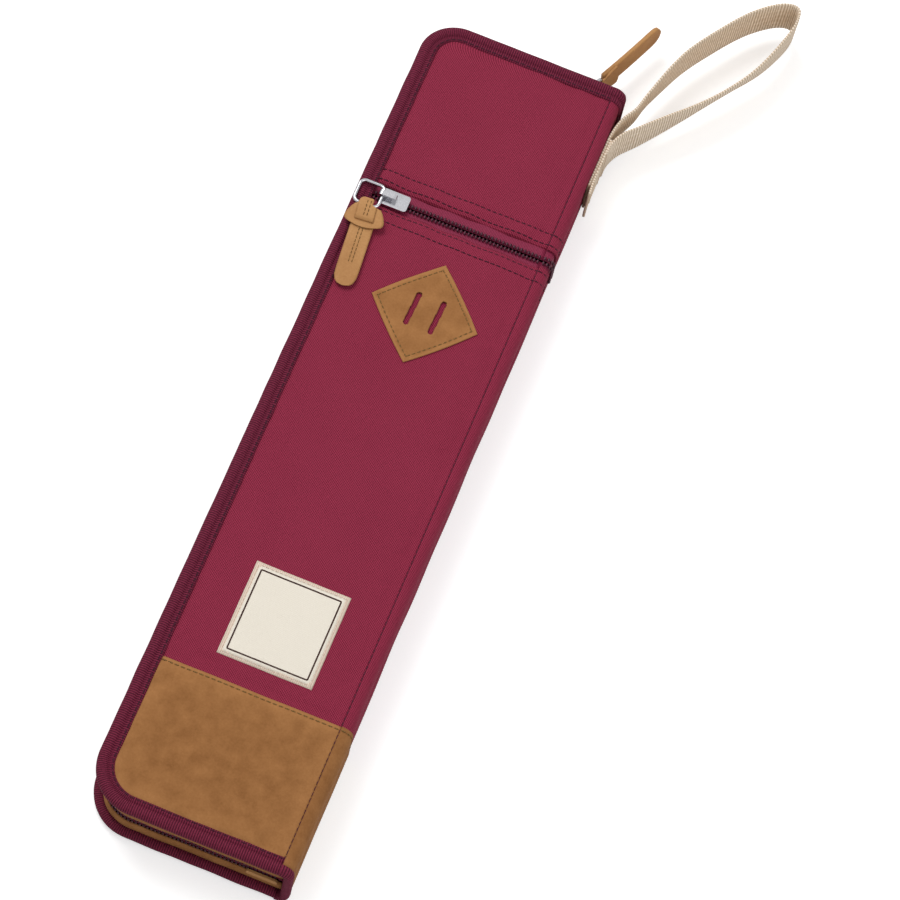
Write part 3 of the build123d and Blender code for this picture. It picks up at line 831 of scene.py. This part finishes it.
class OBJECT_OT_spine(bpy.types.Operator):
    """Sews the fabric spine, its leather end and the binding round its ends"""
    bl_idname = "object.stick_bag_spine"
    bl_label = "Spine"

    def execute(self, context):
        cloth = spine_strip("Spine front cloth upper", FOLD_UP, TOP - 5, 0, shell_fabric(),
                            "shell_fabric")
        spine_strip("Spine front cloth lower", LEATHER_TOP - 3, FOLD_DOWN, 0, shell_fabric(),
                    "shell_fabric")
        spine_strip("Spine back cloth", LEATHER_TOP - 3, TOP - 5, 0, shell_fabric(),
                    "shell_fabric", back=True)
        leather = spine_strip("Spine front leather", BOTTOM + 5, LEATHER_TOP, 0.8, nubuck(),
                              "nubuck_leather", swell=0.3)
        spine_strip("Spine back leather", BOTTOM + 5, LEATHER_TOP, 0.8, nubuck(),
                    "nubuck_leather", back=True, swell=0.3)
        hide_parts("spine_panel")
        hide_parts("spine_leather")
        for end, side in ((TOP, "top"), (BOTTOM, "bottom")):
            first = end_roll(f"Spine {side} binding front", end, False)
            end_roll(f"Spine {side} binding back", end, True)
            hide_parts(f"spine_binding_{side}")
        return {"FINISHED"}


class OBJECT_OT_bindings(bpy.types.Operator):
    """Sews the ribbed binding round the front and the back"""
    bl_idname = "object.stick_bag_bindings"
    bl_label = "Bindings"

    def execute(self, context):
        for name, profile, body, node_name, seed in (
                ("Front binding", ROLL, "cover", "front_binding", 1),
                ("Back binding", FLAT_ROLL, "back", "back_binding", 2)):
            piece = swept(name, stations(1.5, SEAM_X), profile, tube=True, wobble=0.25,
                          seed=seed)
            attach(dress(piece, binding_tape(), "binding_tape"), body)
            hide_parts(node_name)
        return {"FINISHED"}


class OBJECT_OT_gussets(bpy.types.Operator):
    """Sews the side walls between the binding and the main zip"""
    bl_idname = "object.stick_bag_gussets"
    bl_label = "Gussets"

    def execute(self, context):
        front = [(5.6, GUSSET_TOP + 0.6), (5.0, GUSSET_TOP - 2), (4.7, 27.0), (4.7, 23.0),
                 (5.0, 19.5), (5.4, 17.6), (5.8, 17.0)]
        back = [(5.6, 2.8), (5.0, 4.4), (4.8, 6.6), (4.9, 8.8), (5.3, 10.4), (5.8, 11.0)]
        for side, profile, body in (("front", front, "cover"), ("back", back, "back")):
            everywhere = stations(2.5, GUSSET_END)
            cloth = [s for s in everywhere if s[0].y > LEATHER_TOP - 2]
            hide = [s for s in everywhere if s[0].y < LEATHER_TOP]
            piece = swept(f"Gusset {side}", cloth, profile, wall=1.0, wobble=0.4, seed=4)
            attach(dress(piece, shell_fabric(), "shell_fabric"), body)
            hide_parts(f"{side}_gusset")
            thick = [(inset - 0.5, z) for inset, z in profile]
            piece = swept(f"Gusset {side} leather", hide, thick, wall=1.2, wobble=0.3, seed=4)
            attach(dress(piece, nubuck(), "nubuck_leather"), body)
            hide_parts(f"{side}_gusset_leather")
        return {"FINISHED"}


class OBJECT_OT_main_zip(bpy.types.Operator):
    """Makes the main zip's tapes and coils round three sides"""
    bl_idname = "object.stick_bag_main_zip"
    bl_label = "Main zip"

    def execute(self, context):
        pitch = settings().tooth_pitch / MM
        for side, edge, way, body in (("front", FRONT_CHAIN, 1, "cover"),
                                      ("back", BACK_CHAIN, -1, "back")):
            path = stations(2.5, GUSSET_END)
            profile = [(6.5, edge + 3.2 * way), (6.2, edge + 1.6 * way), (6.1, edge + 0.2 * way)]
            tape = swept(f"Main zip tape {side}", path, profile, wall=0.5)
            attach(dress(tape, satin_tape(), "zip_tape"), body)
            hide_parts(f"{side}_zip_tape")
            line = inset_line(SEAM_X - 2, 5.7, edge + 1.15 * way)
            teeth = scatter(f"Main zip coil {side}", capsule(1.35, 2.3, 1.4),
                            stitched([line], pitch))
            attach(dress(teeth, coil_plastic(), "zip_coil"), body)
            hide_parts(f"{side}_zip_coil")
        return {"FINISHED"}


class OBJECT_OT_pocket_zip(bpy.types.Operator):
    """Makes the front pocket's tapes and coils, and their wrap round the spine"""
    bl_idname = "object.stick_bag_pocket_zip"
    bl_label = "Pocket zip"

    def execute(self, context):
        pitch = settings().tooth_pitch / MM
        start = LEFT + 7.4
        for side, low, high, row in (("upper", ZIP_Y + 0.7, FOLD_UP + 3, 1),
                                     ("lower", FOLD_DOWN - 3, ZIP_Y - 0.7, -1)):
            def flat(u, v):
                y = low + (high - low) * v
                return start + (SEAM_X - start) * u, y, COIL_Z + 1.1

            def wrap(u, v):
                point, way = wrap_point(WRAP_FULL * u, -1.6 + 0.9 * min(1.0, u * 4))
                point.y = low + (high - low) * v
                return point

            tape = grid(f"Pocket tape {side}", 40, 4, flat, (SEAM_X - start, high - low),
                        facing=(0, 0, 1), wall=0.5)
            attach(dress(tape, satin_tape(), "zip_tape"), "cover")
            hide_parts(f"pocket_tape_{side}")
            round_spine = grid(f"Pocket tape {side} at the spine", 18, 4, wrap,
                               (WRAP_FULL, high - low), wall=0.5)
            dress(round_spine, satin_tape(), "zip_tape")
            ride_wrap(round_spine, False)
            centre = ZIP_Y + row * 1.45
            line = [((start + (SEAM_X - start) * k / 60, centre, COIL_Z + 2.0), (0, 0, 1))
                    for k in range(61)]
            tooth = capsule(1.3, 2.3, 1.6)
            teeth = scatter(f"Pocket coil {side}", tooth, stitched([line], pitch))
            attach(dress(teeth, coil_plastic(), "zip_coil"), "cover")
            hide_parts(f"pocket_coil_{side}")
            bend = spine_line(centre, lambda k: -0.8 + 1.6 * min(1.0, k / 8))
            teeth = scatter(f"Pocket coil {side} at the spine", tooth, stitched([bend], pitch))
            dress(teeth, coil_plastic(), "zip_coil")
            ride_wrap(teeth, False)
        return {"FINISHED"}


def between(rows, v):
    """The row of values at v, from 0 at the first row to 1 at the last."""
    spot = v * (len(rows) - 1)
    i = min(int(spot), len(rows) - 2)
    return [a + (b - a) * (spot - i) for a, b in zip(rows[i], rows[i + 1])]


def leather_tag(name, outline, origin, along, thickness, lift):
    """A flat leather piece from rows of (distance, left, right) along a direction."""
    along = Vector(along).normalized()
    side = Vector((0, 0, 1)).cross(along)

    def place(u, v):
        far, left, right = between(outline, v)
        across = left + (right - left) * u
        edge = min(1.0, min(u, 1 - u) * abs(right - left) / 0.8)
        point = Vector(origin) + along * far + side * across
        point.z = lift(far) - 0.35 * (1 - edge) ** 2
        return point

    return grid(name, 14, (len(outline) - 1) * 3, place, (20, 50), facing=(0, 0, 1),
                wall=thickness)


class OBJECT_OT_pulls(bpy.types.Operator):
    """Cuts the leather pulls of both sliders"""
    bl_idname = "object.stick_bag_pulls"
    bl_label = "Leather pulls"

    def execute(self, context):
        ring = mm_box("pocket_ring")
        start = Vector(((ring[0].x + ring[1].x) / 2 + 2.2, ring[0].y + 0.9, 0))
        along = Vector((4.5, -49.2, 0))

        def lift(far):
            return 40.0 + 0.9 * math.exp(-((far - 1) / 4) ** 2) - 0.5 * min(1.0, far / 40)

        def above(far):
            return lift(far) + 1.3

        tongue = [(3, -6.0, 6.0), (20, -6.0, 6.0), (38, -6.0, 6.0), (43, -5.8, 5.8),
                  (46, -4.8, 4.8), (47.6, -3.2, 3.2), (48.3, -0.6, 0.6)]
        cap = [(far, -half, min(half, 2.2) if far < 1.6 else half) for far, half in (
            (-2.4, 2.2), (-2.0, 3.6), (-1.2, 4.6), (0.0, 5.2), (1.4, 5.6), (2.4, 7.0),
            (4.0, 8.2), (6.0, 9.3), (8.0, 10.1), (9.5, 10.4), (10.8, 10.2), (11.8, 9.4),
            (12.6, 8.0), (13.2, 6.0), (13.8, 3.6), (14.1, 0.8))]
        loop = [(-2.2, -3.6, 1.8), (-1, -4.9, 2.2), (1.4, -5.2, 2.2), (2.4, -5.2, 4.6),
                (10.5, -5.0, 5.0)]
        for name, outline, height in (("Pocket pull tongue", tongue, lift),
                                      ("Pocket pull cap", cap, above),
                                      ("Pocket pull loop tab", loop,
                                       lambda far: above(far) + 1.0)):
            piece = leather_tag(name, outline, start, along, 1.0, height)
            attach(dress(piece, smooth_leather(), "smooth_leather"), "pocket_pull")
        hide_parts("pocket_pull_strap")
        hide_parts("pocket_pull_cap")
        way = along.normalized()
        side = Vector((0, 0, 1)).cross(way)
        lines = []
        for offset in (-0.9, 0.9):
            for low, high, height in ((14.5, 34, 0.12), (-1, 9.5, 2.42)):
                lines.append([(start + way * far + side * offset
                               + Vector((0, 0, lift(far) + height)), (0, 0, 1))
                              for far in range(int(low), int(high) + 1, 2)])
        thread = scatter("Pocket pull stitches", capsule(1.9, 0.45, 0.45), stitched(lines, 2.3))
        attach(dress(thread, tan_thread(), "smooth_leather"), "pocket_pull")

        low, high = mm_box("main_pull_strap")
        cap_low, cap_high = mm_box("main_pull_cap")
        root = Vector((cap_low.x + 2.4, cap_low.y + 2.4, SPINE_SPLIT - 4))
        tip = Vector((high.x - 1.6, high.y - 1.2, SPINE_SPLIT - 4))
        run = (tip - root).normalized()
        flank = run.cross(Vector((0, 0, 1)))

        def standing(name, rows, out, thickness):
            def place(u, v):
                far, half = between(rows, v)
                bow = 0.3 * math.sin(far * 0.07)
                point = root + run * far + flank * (out + bow)
                point += flank * (1 - u * 2) * half * 0.12
                point.z += (u * 2 - 1) * half
                return point

            return grid(name, 10, (len(rows) - 1) * 3, place, (20, 50), facing=tuple(flank),
                        wall=thickness)

        tall = (root - tip).length
        strap_rows = [(2, 6.0), (tall * 0.5, 6.0), (tall - 6, 6.0), (tall - 3, 5.2),
                      (tall - 1, 3.4), (tall, 0.8)]
        cap_rows = [(-2, 3.0), (1, 4.5), (5, 6.0), (9, 7.0), (11, 7.0), (12, 5.0),
                    (12.6, 1.0)]
        strap = standing("Main pull tongue", strap_rows, 0.9, 2.2)
        tab = standing("Main pull cap", cap_rows, 2.2, 1.3)
        for piece, name in ((strap, "main_pull_strap"), (tab, "main_pull_cap")):
            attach(dress(piece, smooth_leather(), "smooth_leather"), "main_pull")
            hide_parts(name)
        for name in ("pocket_slider", "pocket_ring", "main_slider", "main_ring"):
            dress(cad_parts[name], bright_metal(), "hardware")
        dress(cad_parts["zip_end_tab"], smooth_leather(), "smooth_leather")
        return {"FINISHED"}


class OBJECT_OT_lash_patch(bpy.types.Operator):
    """Cuts the diamond lash patch with its two slots"""
    bl_idname = "object.stick_bag_lash_patch"
    bl_label = "Lash patch"

    def execute(self, context):
        middle = (PATCH_LOW + PATCH_HIGH) / 2
        half = (PATCH_HIGH - PATCH_LOW) / 2
        cells = 96
        slots = [middle.x + x for x in SLOTS_X]

        def place(u, v):
            p, q = u * 2 - 1, v * 2 - 1
            bow = 1 + 0.035 * (2 - p * p - q * q)
            x = middle.x + half.x * (p - q) / 2 * bow
            y = middle.y + half.y * (p + q) / 2 * bow
            rim = min(1 - abs(p), 1 - abs(q)) * 20
            z = front_height(x, y) + 1.0 - 0.4 * (1 - min(1.0, rim / 1.2)) ** 2
            for centre in slots:
                away = math.hypot((x - centre) / 1.5, max(0.0, abs(y - middle.y) - 8.5) / 1.5)
                z += 0.3 * math.exp(-(away - 1.3) ** 2 / 0.5)
            return x, y, z

        piece = grid("Lash patch", cells, cells, place, (41, 41), facing=(0, 0, 1), wall=0)
        select(piece)
        bpy.ops.object.mode_set(mode="EDIT")
        bpy.ops.mesh.select_mode(type="FACE")
        bpy.ops.mesh.select_all(action="DESELECT")
        bpy.ops.object.mode_set(mode="OBJECT")
        for face in piece.data.polygons:
            centre = face.center / MM
            inside = False
            for slot_x in slots:
                lean = slot_x + 0.4 * math.sin((centre.y - middle.y) * 0.15)
                reach = max(0.0, abs(centre.y - middle.y) - 8.8)
                inside |= math.hypot(centre.x - lean, reach) < 1.45
            face.select = inside
        bpy.ops.object.mode_set(mode="EDIT")
        bpy.ops.mesh.delete(type="FACE")
        bpy.ops.mesh.select_mode(type="VERT")
        bpy.ops.object.mode_set(mode="OBJECT")
        apply_modifier(piece, "SOLIDIFY", thickness=1.2 * MM, offset=-1)
        rub(piece, lambda x, y: 0.35 + math.exp(-(1 - abs(x - middle.x) / half.x
                                                  - abs(y - middle.y) / half.y) * 22))
        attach(dress(piece, nubuck(), "nubuck_leather"), "cover")
        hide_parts("lash_patch")
        corners = [(-1, -1), (1, -1), (1, 1), (-1, 1), (-1, -1)]
        inner = 0.87
        lines = []
        for (pa, qa), (pb, qb) in zip(corners, corners[1:]):
            line = []
            for k in range(31):
                t = k / 30
                p, q = (pa + (pb - pa) * t) * inner, (qa + (qb - qa) * t) * inner
                spot = place((p + 1) / 2, (q + 1) / 2)
                line.append(((spot[0], spot[1], spot[2] + 0.05), (0, 0, 1)))
            lines.append(line)
        thread = scatter("Lash patch stitches", capsule(2.3, 0.65, 0.5), stitched(lines, 2.9))
        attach(dress(thread, tan_thread(), "nubuck_leather"), "cover")
        return {"FINISHED"}


class OBJECT_OT_label(bpy.types.Operator):
    """Weaves the bare label, its folded border and frame line"""
    bl_idname = "object.stick_bag_label"
    bl_label = "Label"

    def execute(self, context):
        low, high = LABEL_LOW, LABEL_HIGH
        rise = 0.55

        def surface(name, x0, y0, x1, y1, lift, material):
            def place(u, v):
                x, y = x0 + (x1 - x0) * u, y0 + (y1 - y0) * v
                rim = min(x - x0, x1 - x, y - y0, y1 - y)
                pull = 0.25 * (1 - min(1.0, rim / 1.0)) ** 2
                x += 0.35 * noise.noise(Vector((y * 0.05, 1, lift)))
                return x, y, front_height(x, y) + rise + lift - pull

            piece = grid(name, 24, 24, place, (x1 - x0, y1 - y0), facing=(0, 0, 1), wall=0.35)
            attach(dress(piece, material, "label_cloth"), "cover")
            return piece

        border = surface("Label border", low.x, low.y, high.x, high.y, 0.0, label_border())
        face = surface("Label face", low.x + 1.4, low.y + 1.4, high.x - 1.4, high.y - 1.4, 0.16,
                       label_cloth())
        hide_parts("label_patch")
        x0, y0, x1, y1 = low.x + 3.8, low.y + 3.8, high.x - 3.8, high.y - 3.8
        corners = [(x0, y0), (x1, y0), (x1, y1), (x0, y1), (x0, y0)]
        frame_line, hem = [], []
        for target, out in ((frame_line, 0.0), (hem, 2.2)):
            for a, b in zip(corners, corners[1:]):
                line = []
                for k in range(25):
                    x, y = a[0] + (b[0] - a[0]) * k / 24, a[1] + (b[1] - a[1]) * k / 24
                    x += out * ((x > (x0 + x1) / 2 + 18) - (x < (x0 + x1) / 2 - 18))
                    y += out * ((y > (y0 + y1) / 2 + 18) - (y < (y0 + y1) / 2 - 18))
                    line.append(((x, y, front_height(x, y) + rise + 0.2 - 0.1 * (out > 0)),
                                 (0, 0, 1)))
                target.append(line)
        lined = scatter("Label frame line", capsule(1.0, 0.9, 0.3), stitched(frame_line, 0.7))
        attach(dress(lined, frame_thread(), "label_cloth"), "cover")
        piece = scatter("Label stitches", capsule(1.8, 0.4, 0.35), stitched(hem, 2.4))
        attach(dress(piece, label_border(), "label_cloth"), "cover")
        return {"FINISHED"}


class OBJECT_OT_strap(bpy.types.Operator):
    """Sews the webbing hand strap on the spine"""
    bl_idname = "object.stick_bag_strap"
    bl_label = "Hand strap"

    def execute(self, context):
        thick = settings().webbing_thickness / MM
        low_z, high_z = SEAM_LOW.z, SEAM_HIGH.z
        route = [(54.9, 200), (55.1, 212), (57.5, 224), (61.8, 234), (65, 247), (74, 273),
                 (86, 294), (98, 311), (110, 322), (118.5, 325), (122, 321), (120.5, 308),
                 (112.5, 286), (101, 267), (89, 250), (79, 237), (68, 223), (60.5, 214),
                 (57.2, 206), (56.8, 199)]
        centre = smooth_curve([(x, y, 0) for x, y in route], 2.0)

        def turning(u):
            """How far the webbing leans: most in its returning strand, some at its root."""
            return (1.0 * math.exp(-((u - 0.72) / 0.13) ** 2)
                    + 0.55 * math.exp(-((u - 0.14) / 0.07) ** 2))

        def flat(u):
            """The sewn webbing doesn't lean."""
            return 0.0

        def webbing(name, line, twist):
            half, round_off = thick / 2, thick * 0.45
            rows = [(round_off, -half), (20, -half), (24.6, -half * 0.8), (25, 0),
                    (24.6, half * 0.8), (20, half), (5, half), (0.4, half * 0.8), (0, 0),
                    (0.4, -half * 0.8), (round_off, -half)]
            far = [0.0]
            for a, b in zip(line, line[1:]):
                far.append(far[-1] + (b - a).length)

            def place(u, v):
                i = round(u * (len(line) - 1))
                before, after = line[max(0, i - 1)], line[min(len(line) - 1, i + 1)]
                way = (after - before).normalized()
                flank = Vector((way.y, -way.x, 0))
                across, out = rows[round(v * (len(rows) - 1))]
                spot = line[i] + flank * out
                spot.z = low_z + across * (high_z - low_z) / 25
                lean = twist(i / (len(line) - 1)) * (across - 12.5)
                spot += Vector((0.03, -0.45, -0.08)) * lean
                return spot

            piece = grid(name, len(line) - 1, len(rows) - 1, place, (far[-1], 52), tube=True)
            return dress(piece, webbing_cloth(), "webbing")

        loop = webbing("Strap loop", centre, turning)
        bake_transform(loop)
        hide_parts("hand_strap", "strap_root")
        flap = webbing("Strap sewn base", smooth_curve(
            [(56.3, 208, 0), (56.2, 190, 0), (56.3, 180, 0), (57.0, 173, 0)], 2.0), flat)
        under = webbing("Strap sewn base under", smooth_curve(
            [(54.9, 208, 0), (54.8, 190, 0), (54.8, 178, 0)], 2.0), flat)
        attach(flap, "spine")
        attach(under, "spine")
        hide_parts("strap_seam")
        lines = []
        for y in (181, 193.5, 206):
            lines.append([((57.15, y, low_z + 1.5 + k), (1, 0, 0)) for k in range(23)])
        bars = scatter("Strap stitches", capsule(2.0, 0.6, 0.5), stitched(lines, 2.3))
        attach(dress(bars, webbing_cloth(), "webbing"), "spine")
        return {"FINISHED"}


class OBJECT_OT_interior(bpy.types.Operator):
    """Sews the lining, the stick sleeve and the pocket inside"""
    bl_idname = "object.stick_bag_interior"
    bl_label = "Interior"

    def execute(self, context):
        def inner(name, box, z, facing, cells, material, slot, body, swell):
            (x0, y0, _), (x1, y1, _) = box

            def place(u, v):
                y = y0 + (y1 - y0) * v
                start = max(x0, left_edge(y, 7.8))
                x = start + (x1 - start) * u
                return x, y, z + swell(u, v)

            piece = grid(name, cells[0], cells[1], place, (x1 - x0, y1 - y0), facing=facing,
                         wall=0.7)
            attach(dress(piece, material, slot), body)
            return piece

        def soft(u, v):
            return 0.3 * noise.noise(Vector((u * 3, v * 9, 1)))

        lining = inner("Back lining", mm_box("back_lining"), 4.0, (0, 0, 1), (24, 80),
                       lining_fabric(), "lining", "back", soft)
        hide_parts("back_lining")
        divider_box = mm_box("pocket_divider")
        divider = inner("Pocket divider", divider_box, divider_box[0].z, (0, 0, -1), (24, 80),
                        lining_fabric(), "lining", "cover", soft)
        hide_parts("pocket_divider")
        pocket_box = mm_box("accessory_pocket")

        def sag(u, v):
            return -0.6 * math.sin(math.pi * u) * math.sin(math.pi * min(1, v * 1.1)) + 0.2

        pocket = inner("Accessory pocket", pocket_box, pocket_box[0].z, (0, 0, -1), (24, 50),
                       shell_fabric(), "lining", "cover", sag)
        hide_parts("accessory_pocket")
        spine_box = mm_box("spine_panel")

        def spine_inside(u, v):
            return (spine_box[0].x - 0.1, BOTTOM + 8 + (TOP - BOTTOM - 16) * v,
                    spine_box[0].z + 3.5 + (spine_box[1].z - spine_box[0].z - 7) * u)

        hidden = grid("Spine lining", 8, 60, spine_inside, (29, TOP - BOTTOM - 16),
                      facing=(-1, 0, 0), wall=0.6)
        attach(dress(hidden, lining_fabric(), "lining"), "spine")
        sleeve_box = mm_box("stick_sleeve")
        humps = 3

        def hump(u):
            return 10.0 * abs(math.sin(math.pi * humps * u)) ** 0.55

        def channels(u, v):
            return (hump(u) * (0.35 + 0.65 * min(1.0, v * 6))
                    + 0.2 * noise.noise(Vector((u * 5, v * 8, 3))))

        sleeve = inner("Stick sleeve", sleeve_box, 5.6, (0, 0, 1), (72, 80), lining_fabric(),
                       "lining", "back", channels)
        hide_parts("stick_sleeve")

        def along_top(u, v):
            return 0.35 + hump(u)

        binding = inner("Sleeve binding", mm_box("sleeve_binding"), 5.8, (0, 0, 1), (72, 4),
                        binding_tape(), "binding_tape", "back", along_top)
        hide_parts("sleeve_binding")
        return {"FINISHED"}


class OBJECT_OT_stitching(bpy.types.Operator):
    """Runs the visible rows of stitches on the shell"""
    bl_idname = "object.stick_bag_stitching"
    bl_label = "Stitching"

    def execute(self, context):
        length = settings().stitch_length / MM
        unit = capsule(length, 0.75, 0.5)
        pitch = length + STITCH_GAP

        def lying(points, height=front_height, lift=0.12):
            return [((x, y, height(x, y) + lift), (0, 0, 1)) for x, y in points]

        def steps(a, b, count):
            return [a + (b - a) * k / count for k in range(count + 1)]

        flat, bend = [], []
        for y in ZIP_ROWS:
            flat.append(lying([(x, y) for x in steps(LEFT + 8, SEAM_X, 60)]))
            bend.append(spine_line(y, lambda k: 0.1))
        seam_x = SEAM_X - 0.1
        flat.append(lying([(seam_x, y) for y in steps(ZIP_ROWS[0], TOP - 8, 60)]))
        flat.append(lying([(seam_x, y) for y in steps(LEATHER_TOP, ZIP_ROWS[2], 140)]))
        flat.append(lying([(seam_x, y) for y in steps(BOTTOM + EDGE_IN, LEATHER_TOP, 50)],
                          leather_height, 0.15))
        flat.append(inset_line(SEAM_X, 7.9, FRONT + 0.78, (0, 0, 1)))
        thread = scatter("Front stitches", unit, stitched(flat, pitch))
        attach(dress(thread, dark_thread(), "binding_tape"), "cover")
        thread = scatter("Spine stitches", unit, stitched(bend, pitch))
        dress(thread, dark_thread(), "binding_tape")
        ride_wrap(thread, False)
        under = inset_line(SEAM_X, 8.3, 0.25, (0, 0, -1))
        thread = scatter("Back stitches", unit, stitched([under], pitch))
        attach(dress(thread, dark_thread(), "binding_tape"), "back")
        row_y = LEATHER_TOP - 2.0
        row = lying([(x, row_y) for x in steps(LEFT + 9, SEAM_X, 60)], leather_height, 0.12)
        thread = scatter("Leather stitches", unit, stitched([row], pitch))
        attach(dress(thread, tan_thread(), "nubuck_leather"), "cover")
        curve = spine_line(row_y, lambda k: 0.95)
        thread = scatter("Spine leather stitches", unit, stitched([curve], pitch))
        dress(thread, tan_thread(), "nubuck_leather")
        ride_wrap(thread, False)
        return {"FINISHED"}


class OBJECT_OT_stage(bpy.types.Operator):
    """Sets the white floor, the lamps and the camera"""
    bl_idname = "object.stick_bag_stage"
    bl_label = "Stage"

    def execute(self, context):
        scene = context.scene
        scene.view_settings.view_transform = "Standard"
        world = scene.world or bpy.data.worlds.new("World")
        scene.world = world
        world.use_nodes = True
        tree = world.node_tree
        tree.nodes.clear()
        out = node(tree, "ShaderNodeOutputWorld")
        light = node(tree, "ShaderNodeBackground")
        light.inputs["Color"].default_value = (1, 1, 1, 1)
        light.inputs["Strength"].default_value = 0.45
        seen = node(tree, "ShaderNodeBackground")
        seen.inputs["Strength"].default_value = 1.0
        seen.inputs["Color"].default_value = (1, 1, 1, 1)
        mix = node(tree, "ShaderNodeMixShader")
        ray = node(tree, "ShaderNodeLightPath")
        pale = maths(tree, "MAXIMUM", ray.outputs["Is Camera Ray"],
                     maths(tree, "MAXIMUM", ray.outputs["Is Glossy Ray"],
                           ray.outputs["Is Transmission Ray"]))
        tree.links.new(pale, mix.inputs[0])
        tree.links.new(light.outputs[0], mix.inputs[1])
        tree.links.new(seen.outputs[0], mix.inputs[2])
        tree.links.new(mix.outputs[0], out.inputs[0])

        deselect()
        bpy.ops.mesh.primitive_plane_add(size=6, location=(0, 0, -0.0016))
        floor = context.object
        floor.name = "Floor"
        material = bpy.data.materials.new("White floor")
        material.use_nodes = True
        tree = material.node_tree
        shader = tree.nodes["Principled BSDF"]
        shader.inputs["Base Color"].default_value = (0.8, 0.8, 0.8, 1)
        shader.inputs["Roughness"].default_value = 1.0
        shader.inputs["Emission Color"].default_value = (1, 1, 1, 1)
        ray = node(tree, "ShaderNodeLightPath")
        tree.links.new(maths(tree, "MULTIPLY", ray.outputs["Is Camera Ray"], 0.5),
                       shader.inputs["Emission Strength"])
        floor.data.materials.append(material)

        def lamp(name, place, size, power):
            data = bpy.data.lights.new(name, "AREA")
            data.size = size
            data.energy = power
            made = bpy.data.objects.new(name, data)
            scene.collection.objects.link(made)
            made.location = place
            made.rotation_euler = (Vector((0, 0, 0)) - Vector(place)).to_track_quat(
                "-Z", "Y").to_euler()

        key = settings().key_strength
        lamp("Key", (-0.9, 0.7, 1.7), 1.0, key)
        lamp("Fill", (1.2, -0.5, 1.5), 1.6, key * 0.45)

        right = Vector((0.92785, 0.35717, 0.10738))
        down = Vector((0.36796, -0.82969, -0.41978))
        forward = Vector((-0.06084, 0.42900, -0.90125))
        data = bpy.data.cameras.new("Camera")
        data.lens = 176.0
        data.sensor_width = 36.0
        camera = bpy.data.objects.new("Camera", data)
        scene.collection.objects.link(camera)
        turn = Matrix((right, -down, -forward)).transposed().to_4x4()
        camera.matrix_world = Matrix.Translation((0.17668, -0.93434, 2.01034)) @ turn
        scene.camera = camera
        return {"FINISHED"}


class VIEW3D_PT_stick_bag(bpy.types.Panel):
    """The sidebar's list of the bag's pieces"""
    bl_idname = "VIEW3D_PT_stick_bag"
    bl_label = "Stick bag"
    bl_space_type = "VIEW_3D"
    bl_region_type = "UI"
    bl_category = "Stick bag"

    def draw(self, context):
        for name in StickBagSettings.__annotations__:
            self.layout.prop(context.scene.stick_bag, name)
        for maker in MAKERS:
            self.layout.operator(maker.bl_idname)


MAKERS = (OBJECT_OT_front_panels, OBJECT_OT_back_panel, OBJECT_OT_spine, OBJECT_OT_bindings,
          OBJECT_OT_gussets, OBJECT_OT_main_zip, OBJECT_OT_pocket_zip, OBJECT_OT_pulls,
          OBJECT_OT_lash_patch, OBJECT_OT_label, OBJECT_OT_strap, OBJECT_OT_interior,
          OBJECT_OT_stitching, OBJECT_OT_stage)


def register():
    """Adds the classes and the scene's settings."""
    bpy.utils.register_class(StickBagSettings)
    for maker in MAKERS:
        bpy.utils.register_class(maker)
    bpy.utils.register_class(VIEW3D_PT_stick_bag)
    bpy.types.Scene.stick_bag = bpy.props.PointerProperty(type=StickBagSettings)


def unregister():
    """Takes them away again."""
    del bpy.types.Scene.stick_bag
    bpy.utils.unregister_class(VIEW3D_PT_stick_bag)
    for maker in reversed(MAKERS):
        bpy.utils.unregister_class(maker)
    bpy.utils.unregister_class(StickBagSettings)


def main():
    """Makes the whole bag."""
    register()
    settle_padding()
    for maker in MAKERS:
        group, name = maker.bl_idname.split(".")
        getattr(getattr(bpy.ops, group), name)()


if __name__ == "__main__":
    main()
